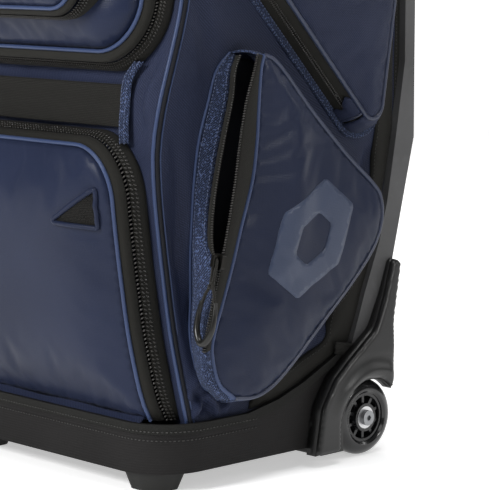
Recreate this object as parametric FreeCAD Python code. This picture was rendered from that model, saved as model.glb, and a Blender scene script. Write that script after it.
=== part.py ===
import FreeCAD, Part
import math
import os
from FreeCAD import Vector

# An upright equipment bag on two wheels and two front feet, in millimetres.
# +X is the bag's right side, -Y its front and +Z up. The origin is on the ground under the bag's middle.
# Bodies: the bag itself, two wheels, the telescoping handle and its button, two doors, and the zip sliders
# with their pulls.

# ---- Driving dimensions ----
HALF_WIDTH = 160.0  # to the outer face of a side panel
SHEET = 3.0  # a sewn panel: shell, foam and lining
GAP = 0.5  # between pieces that move against each other
TOP = 880.0  # the highest point of the top panel
TOP_RADIUS = 90.0  # the arch of the top, seen from the front
BACK = 196.0  # the rear face of the back rails
RAIL_TOP = 800.0

# The front edge of the body seen from the side, as (y, z): fullest at the waist.
FRONT_EDGE = [(-96, 56), (-110, 114), (-122, 174), (-137, 290), (-132, 350), (-102, 452), (-92, 560)]
FRONT_EDGE.append((-90, TOP))
# The rear face of the back rails: it leans forward below the bend, towards the wheels.
BACK_EDGE = [(152, 112), (165, 188), (BACK, 312), (BACK, 872)]
# The top edge of the base tub, higher at the rear.
TUB_EDGE = [(-200, 64), (-30, 64), (10, 72), (44, 84), (78, 100), (104, 112), (200, 112)]
TUB_FLOOR = 18.0

ZIP_RISE = 14.0  # how far a door's zip stands in front of the body
DOOR_WALL = 4.0
DOOR_HALF = 143.0
LOWER_DOOR = (74.0, 331.0, 58.0)  # bottom, top, corner radius
UPPER_DOOR = (386.0, 812.0, 58.0)
LOWER_FACE = [(-133, 74), (-150, 130), (-167, 200), (-178, 262), (-172, 331)]
UPPER_FACE = [(-144, 386), (-154, 414), (-152, 560), (-142, 700), (-116, 812)]

POCKET_FACE = 209.0  # the inner side of the lower side pocket's face
UPPER_POCKET_FACE = 186.0
# Side pockets seen from the side, as (y, z, corner radius).
POCKET = [(-56, 408, 14), (136, 242, 30), (-46, 85, 18), (-130, 90, 26)]
UPPER_POCKET = [(137, 290, 27), (163, 450, 60), (166, 800, 40), (-62, 800, 40), (-62, 504, 60)]
SLIT = (172.0, 204.0, 136.0, 388.0)  # the open zip of the pocket: x from and to, z from and to

WHEEL = (162.0, 125.0, 38.0)  # the centre of a wheel
WHEEL_R = 38.0
WHEEL_WIDTH = 24.0
WELL_R = 41.0
HUB_R = 24.5
BEARING_R = 11.0
BEARING_WIDTH = 7.0
AXLE_R = 4.0
BOLT_FACE = 11.3  # from the middle of a wheel to its bolt's head and to the housing's boss

SCREW_R = 2.0
SCREW_HEAD_R = 4.0
FOOT_SCREW = (129.0, -114.0)
HOUSING_FACE = 182.0  # the outer side of a wheel housing
HOUSING_SCREWS_Y = 66.0
HOUSING_SCREWS_Z = (24.0, 40.0)

TUBE_X = 62.0
TUBE_Y = 174.0
OUTER_TUBE_R = 9.5
INNER_TUBE_R = 8.0
GRIP_TOP = 915.0
GRIP_HEIGHT = 22.0
GRIP_WIDTH = 160.0
BUTTON_TRAVEL = 4.0

SLIDER_Z = 219.0  # where the slider of a side pocket is parked
PIVOT = 8.25  # from the lip of a zip out to where a pull hangs on its slider's bridge
CORD_R = 1.5
CORD_WIDTH = 7.0  # the pull's cord loop, between the middles of its two legs
CORD_TOP = 0.9
CORD_BOTTOM = -40.0
CORD_FOLD = 3.36

parts = {}


# ---- Drawing helpers ----
def side(x):
    """Places a point of a (y, z) drawing at x."""
    return lambda p: Vector(x, p.x, p.y)


def front(y):
    """Places a point of an (x, z) drawing at y."""
    return lambda p: Vector(p.x, y, p.y)


def plan(z):
    """Places a point of an (x, y) drawing at z."""
    return lambda p: Vector(p.x, p.y, z)


def outline(corners, place):
    """A closed wire through corners (a, b) or (a, b, radius), rounded by an arc where a radius is given."""
    stretches = []
    for i, corner in enumerate(corners):
        here = Vector(corner[0], corner[1], 0)
        radius = corner[2] if len(corner) > 2 else 0
        if not radius:
            stretches.append((here, None, here))
            continue
        last, following = corners[i - 1], corners[(i + 1) % len(corners)]
        back = (Vector(last[0], last[1], 0) - here).normalize()
        ahead = (Vector(following[0], following[1], 0) - here).normalize()
        half = back.getAngle(ahead) / 2
        cut = radius / math.tan(half)
        middle = here + (back + ahead).normalize() * (radius / math.sin(half) - radius)
        stretches.append((here + back * cut, middle, here + ahead * cut))
    edges = []
    for i, (start, middle, stop) in enumerate(stretches):
        if middle:
            edges.append(Part.Arc(place(start), place(middle), place(stop)).toShape())
        following = stretches[(i + 1) % len(stretches)][0]
        if (following - stop).Length > 1e-6:
            edges.append(Part.LineSegment(place(stop), place(following)).toShape())
    return Part.Wire(edges)


def prism(corners, place, start, stop):
    """The drawing as a solid from start to stop along the axis that place looks along."""
    step = place(stop)(Vector(0, 0, 0)) - place(start)(Vector(0, 0, 0))
    return Part.Face(outline(corners, place(start))).extrude(step)


def box(x0, x1, y0, y1, z0, z1):
    return Part.makeBox(x1 - x0, y1 - y0, z1 - z0, Vector(x0, y0, z0))


def rod(x0, x1, radius, y=WHEEL[1], z=WHEEL[2]):
    """A cylinder along X, by default on the wheel's axis."""
    return Part.makeCylinder(radius, x1 - x0, Vector(x0, y, z), Vector(1, 0, 0))


def tube(x0, x1, outer, inner):
    return rod(x0, x1, outer).cut(rod(x0 - 1, x1 + 1, inner))


def arch(half, bottom, top, radius):
    """Round-topped outline, as (x, z, radius)."""
    return [(-half, bottom), (half, bottom), (half, top, radius), (-half, top, radius)]


def bowl(half, bottom, top, radius):
    """Round-bottomed outline, as (x, z, radius)."""
    return [(-half, bottom, radius), (half, bottom, radius), (half, top), (-half, top)]


def height_on(edge, z):
    """The y of a (y, z) edge at height z."""
    for (y0, z0), (y1, z1) in zip(edge, edge[1:]):
        if z0 <= z <= z1:
            return y0 + (y1 - y0) * (z - z0) / (z1 - z0)
    raise ValueError(z)


def stretch(edge, low, high, shift=0.0):
    """The part of a (y, z) edge between two heights, moved by shift along Y."""
    inside = [(y, z) for y, z in edge if low < z < high]
    ends = [(height_on(edge, low), low)], [(height_on(edge, high), high)]
    return [(y + shift, z) for y, z in ends[0] + inside + ends[1]]


def between(edge, low, high, near, far):
    """The strip between an edge moved by near and the same edge moved by far."""
    return stretch(edge, low, high, near) + stretch(edge, low, high, far)[::-1]


def hexagon(radius):
    """Corners of a hexagon on the wheel's axis, as (y, z)."""
    corners = []
    for i in range(6):
        turn = math.radians(60 * i)
        corners.append((WHEEL[1] + radius * math.cos(turn), WHEEL[2] + radius * math.sin(turn)))
    return corners


def mirrored(shape):
    return shape.mirror(Vector(0, 0, 0), Vector(1, 0, 0))


def pair(name, right):
    """A piece of the right side, and its mirror image on the left."""
    parts[name + "_right"] = right
    parts[name + "_left"] = mirrored(right)


def both(right):
    """One node of two separate, mirrored solids."""
    return Part.makeCompound([right, mirrored(right)])


# ---- Base ----
def tub_solid(grow, floor):
    """The tub's outer form, grown by grow: it flares forward at the bottom."""
    wires = []
    for z in (floor, 130.0):
        rise = z - TUB_FLOOR
        y0, y1 = -142 + 0.13 * rise - grow, 151 + grow
        half, front_r, rear_r = 166 + grow, 52 + grow, 26 + grow
        drawing = [(-half, y0, front_r), (half, y0, front_r), (half, y1, rear_r), (-half, y1, rear_r)]
        wires.append(outline(drawing, plan(z)))
    return Part.makeLoft(wires, True, True)


def above_edge(rise):
    """Everything above the tub's top edge moved up by rise."""
    drawing = [(y, z + rise) for y, z in TUB_EDGE] + [(200, 220), (-200, 220)]
    return prism(drawing, side, -200, 200)


def well_block(x0, x1):
    """The block that fills a wheel's place in the tub, as far as the wheel space."""
    drawing = [(50, 12, 3), (52, 44, 8), (90, 85, 20), (151, 85, 3), (151, 12, 3)]
    return prism(drawing, side, x0, x1)


def wheel_space(x0, x1):
    """The space that a wheel turns in, open below and behind."""
    _, y, z = WHEEL
    room = rod(x0, x1, WELL_R).fuse(box(x0, x1, y - WELL_R, y + 80, -20, z))
    return room.fuse(box(x0, x1, y, y + 80, z - 1, z + 36))


def make_base():
    tub = tub_solid(0, TUB_FLOOR).cut(tub_solid(-SHEET, TUB_FLOOR + SHEET)).cut(above_edge(0))
    for block in (well_block(138, 200), mirrored(well_block(138, 200))):
        tub = tub.cut(block)
    parts["base_tub"] = tub
    band = tub_solid(1.6, TUB_FLOOR + 20).cut(tub_solid(0.01, TUB_FLOOR + 10))
    below = prism([(y, z - 9) for y, z in TUB_EDGE] + [(200, -20), (-200, -20)], side, -200, 200)
    band = band.cut(above_edge(0)).cut(below)
    # The binding stops short of the wheel housings and of the rear wall.
    parts["base_binding"] = band.cut(box(-200, 200, 112, 200, 0, 200))
    board = [(-130, -126, 30), (130, -126, 30), (130, 144, 6), (-130, 144, 6)]
    parts["base_board"] = prism(board, plan, TUB_FLOOR + SHEET, TUB_FLOOR + SHEET + 4)


def make_feet():
    """Tapered blocks under the front corners, with a hollow for the screw head in the bottom."""
    top = outline([(104, -136, 10), (154, -136, 26), (154, -92, 10), (104, -92, 10)], plan(TUB_FLOOR))
    bottom = outline([(110, -131, 8), (148, -131, 20), (148, -98, 8), (110, -98, 8)], plan(0))
    foot = Part.makeLoft([top, bottom], True, True)
    x, y = FOOT_SCREW
    foot = foot.cut(Part.makeCylinder(SCREW_HEAD_R + 0.5, 6, Vector(x, y, -1)))
    foot = foot.cut(Part.makeCylinder(SCREW_R + 0.1, 30, Vector(x, y, -1)))
    pair("front_foot", foot)


def make_screws():
    """Pan-head screws: one in each foot, two in the leg of each wheel housing."""
    x, y = FOOT_SCREW
    head = Part.makeCylinder(SCREW_HEAD_R, 2.4, Vector(x, y, 2.6))
    screws = [head.fuse(Part.makeCylinder(SCREW_R, 13, Vector(x, y, 5)))]
    for z in HOUSING_SCREWS_Z:
        head = rod(HOUSING_FACE, HOUSING_FACE + 2, SCREW_HEAD_R, HOUSING_SCREWS_Y, z)
        screws.append(head.fuse(rod(HOUSING_FACE - 12, HOUSING_FACE, SCREW_R, HOUSING_SCREWS_Y, z)))
    parts["base_screws"] = Part.makeCompound(screws + [mirrored(screw) for screw in screws])


def make_housing():
    """Wheel housing: leg and arch round the wheel, tongue up the rail, inner wall with a boss."""
    inner = well_block(138, 170).cut(wheel_space(142, 200))
    lower = [(48, 12, 5), (56, 58, 14), (73, 83, 14), (95, 101, 14)]
    upper = [(131, 126, 20), (147, 160, 24), (160, 193, 5), (171, 189, 4), (157, 134, 20), (152, 12)]
    # The outer face is flat round the wheel and thins up its tongue to the tip.
    slope = [(HOUSING_FACE, 104), (190, 104), (190, 200), (175, 200)]
    outer = prism(lower + upper, side, 169.5, HOUSING_FACE).cut(prism(slope, front, 100, 200))
    outer = outer.cut(wheel_space(140, 200))
    boss = rod(140, WHEEL[0] - BOLT_FACE, 7.5)
    body = inner.fuse(outer).fuse(boss)
    body = body.cut(rod(130, 160, AXLE_R + 0.1))
    for hole in HOUSING_SCREWS_Z:
        body = body.cut(rod(168, 183, SCREW_R + 0.1, HOUSING_SCREWS_Y, hole))
    pair("wheel_housing", body.removeSplitter())


def make_wheel():
    x, y, z = WHEEL
    half = WHEEL_WIDTH / 2
    # The tyre's section, as (x, radius): a round tread and sides that step in to the hub.
    section = [(-10, HUB_R), (10, HUB_R), (half, 27, 1.2), (half, WHEEL_R, 10.5), (-half, WHEEL_R, 10.5)]
    section.append((-half, 27, 1.2))
    drawing = outline(section, lambda p: Vector(x + p.x, y, z + p.y))
    tyre = Part.Face(drawing).revolve(Vector(x, y, z), Vector(1, 0, 0), 360)
    pair("tyre", tyre)
    hub = tube(x - 9, x + 9, HUB_R, HUB_R - 3).fuse(tube(x - 11, x + 11, 14, BEARING_R))
    for i in range(10):
        spoke = box(x - 7, x + 7, y - 1.6, y + 1.6, z + 12.5, z + HUB_R - 2)
        hub = hub.fuse(spoke.rotated(Vector(x, y, z), Vector(1, 0, 0), 36 * i))
    pair("hub", hub.removeSplitter())
    near = tube(x - 11, x - 11 + BEARING_WIDTH, BEARING_R, AXLE_R + 0.05)
    far = tube(x + 11 - BEARING_WIDTH, x + 11, BEARING_R, AXLE_R + 0.05)
    pair("bearings", Part.makeCompound([near, far]))
    pair("bearing_spacer", tube(x - 4, x + 4, 6, AXLE_R + 0.05))
    head = rod(x + BOLT_FACE, x + 15.5, 7.5)
    socket = prism(hexagon(2.9), side, x + 13, x + 16)
    bolt = rod(131, x + BOLT_FACE, AXLE_R).fuse(head).cut(socket)
    parts["axle_bolts"] = both(bolt.removeSplitter())
    nut = prism(hexagon(7.2), side, 132, 138).cut(rod(130, 140, AXLE_R))
    parts["axle_nuts"] = both(nut)


# ---- Back and handle ----
def make_back():
    edge = BACK_EDGE
    low, high = 112.5, 858.0
    panel = prism(between(edge, low, high, -6 - SHEET, -6), side, -HALF_WIDTH, HALF_WIDTH)
    parts["back_panel"] = panel.common(prism(arch(HALF_WIDTH, 100, TOP, TOP_RADIUS), front, 100, 220))
    inner = [(109, 114), (127, 163), (147, 211), (158, 250), (169, 309), (182, 387), (182, RAIL_TOP)]
    flank = prism(stretch(edge, 114, RAIL_TOP) + inner[::-1], side, HALF_WIDTH + 0.5, 169)
    wrap = prism(between(edge, 114, RAIL_TOP, -6, 0), side, 140, HALF_WIDTH + 0.5)
    pair("back_rail", flank.fuse(wrap).removeSplitter())
    bezel = prism([(-98, 152, 8), (98, 152, 8), (98, 190, 8), (-98, 190, 8)], plan, 860, 876)
    for x in (-TUBE_X, TUBE_X):
        bezel = bezel.cut(Part.makeCylinder(INNER_TUBE_R + 0.6, 40, Vector(x, TUBE_Y, 850)))
    parts["handle_bezel"] = bezel
    bracket = prism([(-82, 160, 5), (82, 160, 5), (82, 187, 2), (-82, 187, 2)], plan, 320, 340)
    for x in (-TUBE_X, TUBE_X):
        bracket = bracket.cut(Part.makeCylinder(OUTER_TUBE_R, 16, Vector(x, TUBE_Y, 326)))
    parts["handle_bracket"] = bracket


def upright(radius, low, high, x=TUBE_X):
    return Part.makeCylinder(radius, high - low, Vector(x, TUBE_Y, low))


def make_handle():
    pair("outer_tube", upright(OUTER_TUBE_R, 326, 860).cut(upright(INNER_TUBE_R + 0.5, 320, 900)))
    low = GRIP_TOP - GRIP_HEIGHT
    pair("inner_tube", upright(INNER_TUBE_R, 345, low + 10).cut(upright(INNER_TUBE_R - 1.4, 340, low + 20)))
    half = GRIP_WIDTH / 2
    bar = prism([(-half, low, 8), (half, low, 8), (half, GRIP_TOP, 9), (-half, GRIP_TOP, 9)], front, 160, 188)
    section = [(160, low - 1, 7), (188, low - 1, 7), (188, GRIP_TOP + 1, 9), (160, GRIP_TOP + 1, 9)]
    bar = bar.common(prism(section, side, -half, half))
    for x in (-TUBE_X, TUBE_X):
        bar = bar.cut(upright(INNER_TUBE_R, low - 5, low + 10, x))
    slot = [(-16, 167, 6), (16, 167, 6), (16, 181, 6), (-16, 181, 6)]
    bar = bar.cut(prism(slot, plan, GRIP_TOP - 10, GRIP_TOP + 5))
    parts["handle_grip"] = bar
    key = [(-15.5, 167.5, 5.5), (15.5, 167.5, 5.5), (15.5, 180.5, 5.5), (-15.5, 180.5, 5.5)]
    parts["release_button"] = prism(key, plan, GRIP_TOP - 10 + BUTTON_TRAVEL + 0.5, GRIP_TOP - 0.5)


# ---- Sewn body ----
def make_body():
    half = HALF_WIDTH - SHEET - 0.5
    panel = prism(between(FRONT_EDGE, 57, TOP - 4, 0, SHEET), side, -half, half)
    panel = panel.common(prism(arch(half, 40, TOP - SHEET - 0.5, TOP_RADIUS - SHEET), front, -200, 0))
    lower = prism(arch(128, 68, 316, 46), front, -200, 0)
    upper = prism(bowl(128, 402, 796, 46), front, -200, 0)
    parts["front_panel"] = panel.cut(lower).cut(upper)
    # Side panels stand in the tub and end under the back rails.
    foot = [(y, z - 8) for y, z in TUB_EDGE[1:-1]]
    rear = [(134, 104), (136, 113)] + stretch(BACK_EDGE, 118, TOP - TOP_RADIUS, -10)
    flank = [(-96, 56)] + foot + rear + stretch(FRONT_EDGE, 57, TOP - TOP_RADIUS)[::-1]
    pair("side_panel", prism(flank, side, HALF_WIDTH - SHEET, HALF_WIDTH))
    # The top is an arched sheet, open behind in the middle for the handle.
    low = TOP - TOP_RADIUS
    over = prism(arch(HALF_WIDTH, low, TOP, TOP_RADIUS), front, -90, 186)
    under = prism(arch(HALF_WIDTH - SHEET, low - 5, TOP - SHEET, TOP_RADIUS - SHEET), front, -95, 190)
    parts["top_panel"] = over.cut(under).cut(box(-99, 99, 150, 190, low, TOP + 5)).removeSplitter()
    shelf = [(-156, -127, 6), (156, -127, 6), (156, 156, 6), (-156, 156, 6)]
    parts["divider_shelf"] = prism(shelf, plan, 350, 354)


def door_tray(drawing, inset, face):
    """A door: a padded face with walls back to the zip, open towards the body."""
    low, high = face[0][1], face[-1][1]
    back = stretch(FRONT_EDGE, low, high, -ZIP_RISE - GAP)
    solid = prism(face + back[::-1], side, -200, 200).common(prism(drawing, front, -260, -60))
    room = [(y + DOOR_WALL, z) for y, z in face] + [(y + 40, z) for y, z in back[::-1]]
    room = prism(room, side, -200, 200).common(prism(inset, front, -260, -40))
    return solid.cut(room)


def make_doors():
    bottom, top, radius = LOWER_DOOR
    drawing = arch(DOOR_HALF, bottom, top, radius)
    inset = arch(DOOR_HALF - DOOR_WALL, bottom - 5, top - DOOR_WALL, radius - DOOR_WALL)
    parts["lower_door"] = door_tray(drawing, inset, LOWER_FACE)
    strip = prism(between(FRONT_EDGE, 70, 333, -ZIP_RISE, 0), side, -200, 200)
    ring = prism(arch(DOOR_HALF + 2, 60, top + 2, radius + 2), front, -260, 0)
    hole = prism(arch(DOOR_HALF - 11, 50, top - 11, radius - 11), front, -260, 0)
    parts["lower_door_band"] = strip.common(ring).cut(hole)

    bottom, top, radius = UPPER_DOOR
    drawing = bowl(DOOR_HALF, bottom, top, radius)
    inset = bowl(DOOR_HALF - DOOR_WALL, bottom + DOOR_WALL, top - DOOR_WALL, radius - DOOR_WALL)
    parts["upper_door"] = door_tray(drawing, inset, UPPER_FACE)
    strip = prism(between(FRONT_EDGE, bottom - 2, top, -ZIP_RISE, 0), side, -200, 200)
    ring = prism(bowl(DOOR_HALF + 2, bottom - 2, top + 20, radius + 2), front, -260, 0)
    hole = prism(bowl(DOOR_HALF - 11, bottom + 11, top + 30, radius - 11), front, -260, 0)
    parts["upper_door_band"] = strip.common(ring).cut(hole)

    low, high = 432.0, 650.0
    face = [(-186, low), (-BACK, 500), (-BACK, 600), (-184, high)]
    back = stretch(UPPER_FACE, low, high)
    square = [(-112, low, 42), (112, low, 42), (112, high, 30), (-112, high, 30)]
    inner = [(-109, low + 3, 39), (109, low + 3, 39), (109, high - 3, 27), (-109, high - 3, 27)]
    solid = prism(face + back[::-1], side, -200, 200).common(prism(square, front, -260, -60))
    room = [(y + SHEET, z) for y, z in face] + [(y + 20, z) for y, z in back[::-1]]
    room = prism(room, side, -200, 200).common(prism(inner, front, -260, -60))
    parts["accessory_pocket"] = solid.cut(room)


def make_straps():
    waist = [(82, 338), (-82, 338), (-82, 376), (82, 376)]
    strap = prism(waist, front, -200, -60)
    parts["front_webbing"] = strap.common(prism(between(FRONT_EDGE, 334, 380, -3, -0.01), side, -90, 90))
    # The top grab handle: a strap that rises from the top and comes down again.
    inner = [(-44, TOP), (-30, TOP), (-12, TOP + 26, 14), (96, TOP + 26, 14), (114, TOP), (128, TOP)]
    outer = [(128, TOP + 3), (116, TOP + 3, 4), (98, TOP + 30, 16), (-14, TOP + 30, 16)]
    outer += [(-32, TOP + 3, 4), (-44, TOP + 3)]
    parts["top_grab_handle"] = prism(inner + outer, side, -16, 16)


# ---- Side pockets ----
def ring_and_face(drawing, face_x, x0):
    """A pocket's gusset, from the side panel to the face, and the face itself."""
    solid = prism(drawing, side, x0, face_x)
    inside = Part.Face(outline(drawing, side(x0 - 1)).makeOffset2D(-SHEET))
    gusset = solid.cut(inside.extrude(Vector(face_x, 0, 0)))
    return gusset, prism(drawing, side, face_x, face_x + SHEET)


def make_pockets():
    x0 = HALF_WIDTH + 0.5
    gusset, face = ring_and_face(POCKET, POCKET_FACE, x0)
    slit_x0, slit_x1, slit_z0, slit_z1 = SLIT
    pair("side_pocket", face)
    pair("side_gusset", gusset.cut(box(slit_x0, slit_x1, -140, -52, slit_z0, slit_z1)))
    gusset, face = ring_and_face(UPPER_POCKET, UPPER_POCKET_FACE, x0)
    pair("upper_pocket", gusset.fuse(face).removeSplitter())


# ---- Zip sliders and pulls ----
def lip_point(z, out=0.0, up=0.0):
    """A point (y, z) on the front lip of the side pocket at height z, then out from it and up along it."""
    (y1, z1, _), (y0, z0, _) = POCKET[0], POCKET[3]
    along = Vector(y1 - y0, z1 - z0, 0).normalize()
    outward = Vector(-along.y, along.x, 0)
    start = Vector(y0, z0, 0) + along * ((z - z0) / along.y)
    return start + outward * out + along * up


def leaning(shape, at):
    """Moves a piece drawn upright at the origin, facing -Y, onto the lip of the side pocket."""
    (y1, z1, _), (y0, z0, _) = POCKET[0], POCKET[3]
    lean = math.degrees(math.atan2(y1 - y0, z1 - z0))
    turned = shape.rotated(Vector(0, 0, 0), Vector(1, 0, 0), -lean)
    return turned.translated(at)


def slider():
    """A slider with its bridge, upright at the origin, its back towards +Y."""
    body = prism([(-5.5, -7.5, 3), (5.5, -7.5, 3), (5.5, 7.5, 3), (-5.5, 7.5, 3)], front, -5.5, -0.5)
    bridge = box(-1.6, 1.6, -12.5, -5.5, -5.5, 5.5).cut(box(-3, 3, -11, -5.4, -3.8, 3.8))
    return body.fuse(bridge)


def loop_path(width, top, bottom):
    """A cord loop in the plane y = 0: down from the bridge on one side and back up on the other."""
    half = width / 2
    drawing = [(-half, bottom), (-half, top, CORD_FOLD), (half, top, CORD_FOLD), (half, bottom)]
    points = outline(drawing, front(0)).OrderedEdges
    return Part.Wire([edge for edge in points if edge.CenterOfMass.z > bottom + 0.1])


def pull_pieces():
    """Cord loop and moulded grip, hanging from a slider's bridge at the origin."""
    path = loop_path(CORD_WIDTH, CORD_TOP, CORD_BOTTOM)
    start = path.OrderedVertexes[0].Point
    ring = Part.Wire(Part.makeCircle(CORD_R, start, Vector(0, 0, 1)))
    cord = path.makePipeShell([ring], True, True)
    # The grip: a U of moulded rubber round the cord's two ends.
    outer = [(-7, -40, 2), (7, -40, 2), (9.5, -78, 8), (-9.5, -78, 8)]
    window = [(-3.5, -47, 2), (3.5, -47, 2), (5, -70, 3.5), (-5, -70, 3.5)]
    grip = prism(outer, front, -2.5, 2.5).cut(prism(window, front, -4, 4))
    return cord, grip


def tab(length):
    """A moulded pull tab that hangs from a slider's bridge at the origin, with an eye for the bridge."""
    drawing = [(-4.6, 1.2, 1), (4.6, 1.2, 1), (5.5, -length, 4), (-5.5, -length, 4)]
    eye = [(-2.4, -1.2), (2.4, -1.2), (2.4, -9, 1), (-2.4, -9, 1)]
    return prism(drawing, front, -1.2, 1.2).cut(prism(eye, front, -2, 2))


def make_sliders():
    # Lower side pockets: the slider is parked part way down the open slit.
    at = lip_point(SLIDER_Z)
    place = Vector(POCKET_FACE - 3, at.x, at.y)
    pair("side_slider", leaning(slider(), place))
    hang = lip_point(SLIDER_Z, out=PIVOT)
    place = Vector(POCKET_FACE - 3, hang.x, hang.y)
    print("side pull pivot", place)
    cord, grip = pull_pieces()
    path = loop_path(CORD_WIDTH, CORD_TOP, CORD_BOTTOM)
    print("pull cord: length", path.Length, "fold radius", CORD_FOLD)
    print("pull cord: volume", cord.Volume, "section times length", math.pi * CORD_R**2 * path.Length)
    pair("pull_cord", leaning(cord, place))
    pair("pull_grip", leaning(grip, place))

    # The doors' sliders sit on the left side, where the zip runs up and down.
    for name, z in (("lower_door", 232.0), ("upper_door", 610.0)):
        y = height_on(FRONT_EDGE, z) - ZIP_RISE
        y_up = height_on(FRONT_EDGE, z + 30) - ZIP_RISE
        lean = math.degrees(math.atan2(y_up - y, 30))
        facing_left = slider().rotated(Vector(0, 0, 0), Vector(0, 0, 1), -90)
        body = facing_left.rotated(Vector(0, 0, 0), Vector(1, 0, 0), -lean)
        parts[name + "_slider"] = body.translated(Vector(-DOOR_HALF - 2, y, z))
        hanging = tab(46).rotated(Vector(0, 0, 0), Vector(0, 0, 1), -90)
        parts[name + "_pull"] = hanging.translated(Vector(-DOOR_HALF - 2 - PIVOT, y, z))
        print(name, "pull pivot", -DOOR_HALF - 2 - PIVOT, y, z, "lean", lean)

    # Upper side pockets: slider and tab in one, on the straight upright stretch of the zip.
    closed = slider().fuse(tab(34).translated(Vector(0, -13.5, 0)))
    place = Vector(UPPER_POCKET_FACE - 9, UPPER_POCKET[3][0], 690)
    pair("upper_pocket_slider", closed.translated(place))
    facing_left = closed.rotated(Vector(0, 0, 0), Vector(0, 0, 1), -90)
    parts["accessory_slider"] = facing_left.translated(Vector(-112, -172, 570))


make_base()
make_feet()
make_screws()
make_housing()
make_wheel()
make_back()
make_handle()
make_body()
make_doors()
make_straps()
make_pockets()
make_sliders()

os.makedirs("parts", exist_ok=True)
whole = FreeCAD.BoundBox()
for name, shape in parts.items():
    if not shape.isValid():
        print("not valid:", name)
    whole.add(shape.optimalBoundingBox())
    shape.exportStep(os.path.join("parts", name + ".step"))
print(len(parts), "nodes from", whole.XMin, whole.YMin, whole.ZMin, "to", whole.XMax, whole.YMax, whole.ZMax)
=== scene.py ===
import bpy
from math import acos, atan2, cos, pi, radians, sin, sqrt, tan
import numpy as np
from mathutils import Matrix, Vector, geometry, noise
from mathutils.bvhtree import BVHTree


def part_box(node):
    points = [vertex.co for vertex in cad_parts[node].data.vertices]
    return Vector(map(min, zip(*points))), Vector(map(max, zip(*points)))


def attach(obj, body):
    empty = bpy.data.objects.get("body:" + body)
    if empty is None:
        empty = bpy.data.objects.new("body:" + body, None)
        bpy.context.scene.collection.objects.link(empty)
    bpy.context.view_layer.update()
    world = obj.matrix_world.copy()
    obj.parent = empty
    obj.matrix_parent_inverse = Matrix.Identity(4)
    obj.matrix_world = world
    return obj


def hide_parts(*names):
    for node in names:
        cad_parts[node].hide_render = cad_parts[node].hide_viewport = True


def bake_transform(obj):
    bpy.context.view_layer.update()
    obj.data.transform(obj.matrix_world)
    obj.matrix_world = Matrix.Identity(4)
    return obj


# The looks of a wheeled equipment bag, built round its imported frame. Lengths are in millimetres in the
# bag's own frame (+X its right side, -Y its front, +Z up) and are scaled to metres where a mesh is made.

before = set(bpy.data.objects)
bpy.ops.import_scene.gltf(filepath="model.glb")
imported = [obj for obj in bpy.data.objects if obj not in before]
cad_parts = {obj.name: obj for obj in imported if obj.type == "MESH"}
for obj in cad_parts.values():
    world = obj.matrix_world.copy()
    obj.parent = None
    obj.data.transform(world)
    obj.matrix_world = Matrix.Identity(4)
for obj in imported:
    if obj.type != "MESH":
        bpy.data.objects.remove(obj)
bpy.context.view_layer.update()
MM = 0.001


# ---- Places worked out from the frame ----
def span(node):
    """Lowest and highest corner of a CAD node, in millimetres."""
    low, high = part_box(node)
    return np.array(low) / MM, np.array(high) / MM


HALF_WIDTH = span("side_panel_right")[1][0]
TOP = span("top_panel")[1][2]
LOWER_DOOR = span("lower_door")
UPPER_DOOR = span("upper_door")
ACCESSORY = span("accessory_pocket")
WEBBING = span("front_webbing")
HOUSING_OUT = span("wheel_housing_right")[1][0]
TYRE = span("tyre_right")
TOP_RADIUS = 90.0
TUB_HALF_WIDTH = 166
BINDING_OUT = span("base_binding")[1][0] - TUB_HALF_WIDTH + 0.2
SHEET = 3.0  # thickness of the sewn panels in CAD
SIDE_START = 2.0  # the side cloth starts this far behind the front edge
OPENING = 128  # half the width of the two doors' openings

# Edges seen from the side, as (y, z), and outlines as corners (y, z, radius) or (x, z, radius).
FRONT_EDGE = [(-96, 56), (-110, 114), (-122, 174), (-137, 290), (-132, 350), (-102, 452), (-92, 560),
              (-90, 880)]
BACK_EDGE = [(142, 112), (155, 188), (186, 312), (186, 880)]
TUB_EDGE = [(-200, 64), (-30, 64), (10, 72), (44, 84), (78, 100), (104, 112), (200, 112)]
STRAP_SEAM = [(119, 324), (115, 342), (113, 356), (109, 381), (118, 397)]
UPPER_SEAM = [(137, 290, 27), (163, 450, 60), (166, 800, 40), (-62, 800, 40), (-62, 504, 60)]
HOUSING_LOWER = [(47, 12), (55, 58, 24), (72, 84, 24), (94, 102, 24)]
HOUSING_UPPER = [(130, 127, 26), (146, 160, 30), (159, 194, 5), (172, 190, 4), (158, 134, 24)]
HOUSING_REAR = 154.0


# ---- Lines ----
def unit(v):
    v = np.asarray(v, float)
    return v / np.maximum(np.linalg.norm(v, axis=-1, keepdims=True), 1e-9)


def rounded(corners, line=12, arc=9, closed=True):
    """An outline with rounded corners, and as many points on every line and on every arc."""
    last = len(corners) - 1
    turns = []
    for i, corner in enumerate(corners):
        here = np.array(corner[:2], float)
        if len(corner) == 2 or (not closed and i in (0, last)):
            turns.append([here])
            continue
        back = unit(np.array(corners[i - 1][:2]) - here)
        ahead = unit(np.array(corners[(i + 1) % len(corners)][:2]) - here)
        half = acos(np.clip(back @ ahead, -1, 1)) / 2
        radius = corner[2]
        centre = here + unit(back + ahead) * radius / sin(half)
        cut = radius / tan(half)
        start, stop = here + back * cut - centre, here + ahead * cut - centre
        first = atan2(start[1], start[0])
        sweep = (atan2(stop[1], stop[0]) - first + pi) % (2 * pi) - pi
        steps = [first + sweep * k / arc for k in range(arc + 1)]
        turns.append([centre + radius * np.array([cos(a), sin(a)]) for a in steps])
    points = []
    for i, turn in enumerate(turns):
        points.extend(turn)
        if closed or i < last:
            end, following = turn[-1], turns[(i + 1) % len(turns)][0]
            points.extend(end + (following - end) * k / line for k in range(1, line))
    return np.array(points)


def run_along(line):
    """How far along a line each of its points lies."""
    return np.concatenate([[0], np.cumsum(np.linalg.norm(np.diff(line, axis=0), axis=1))])


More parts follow.
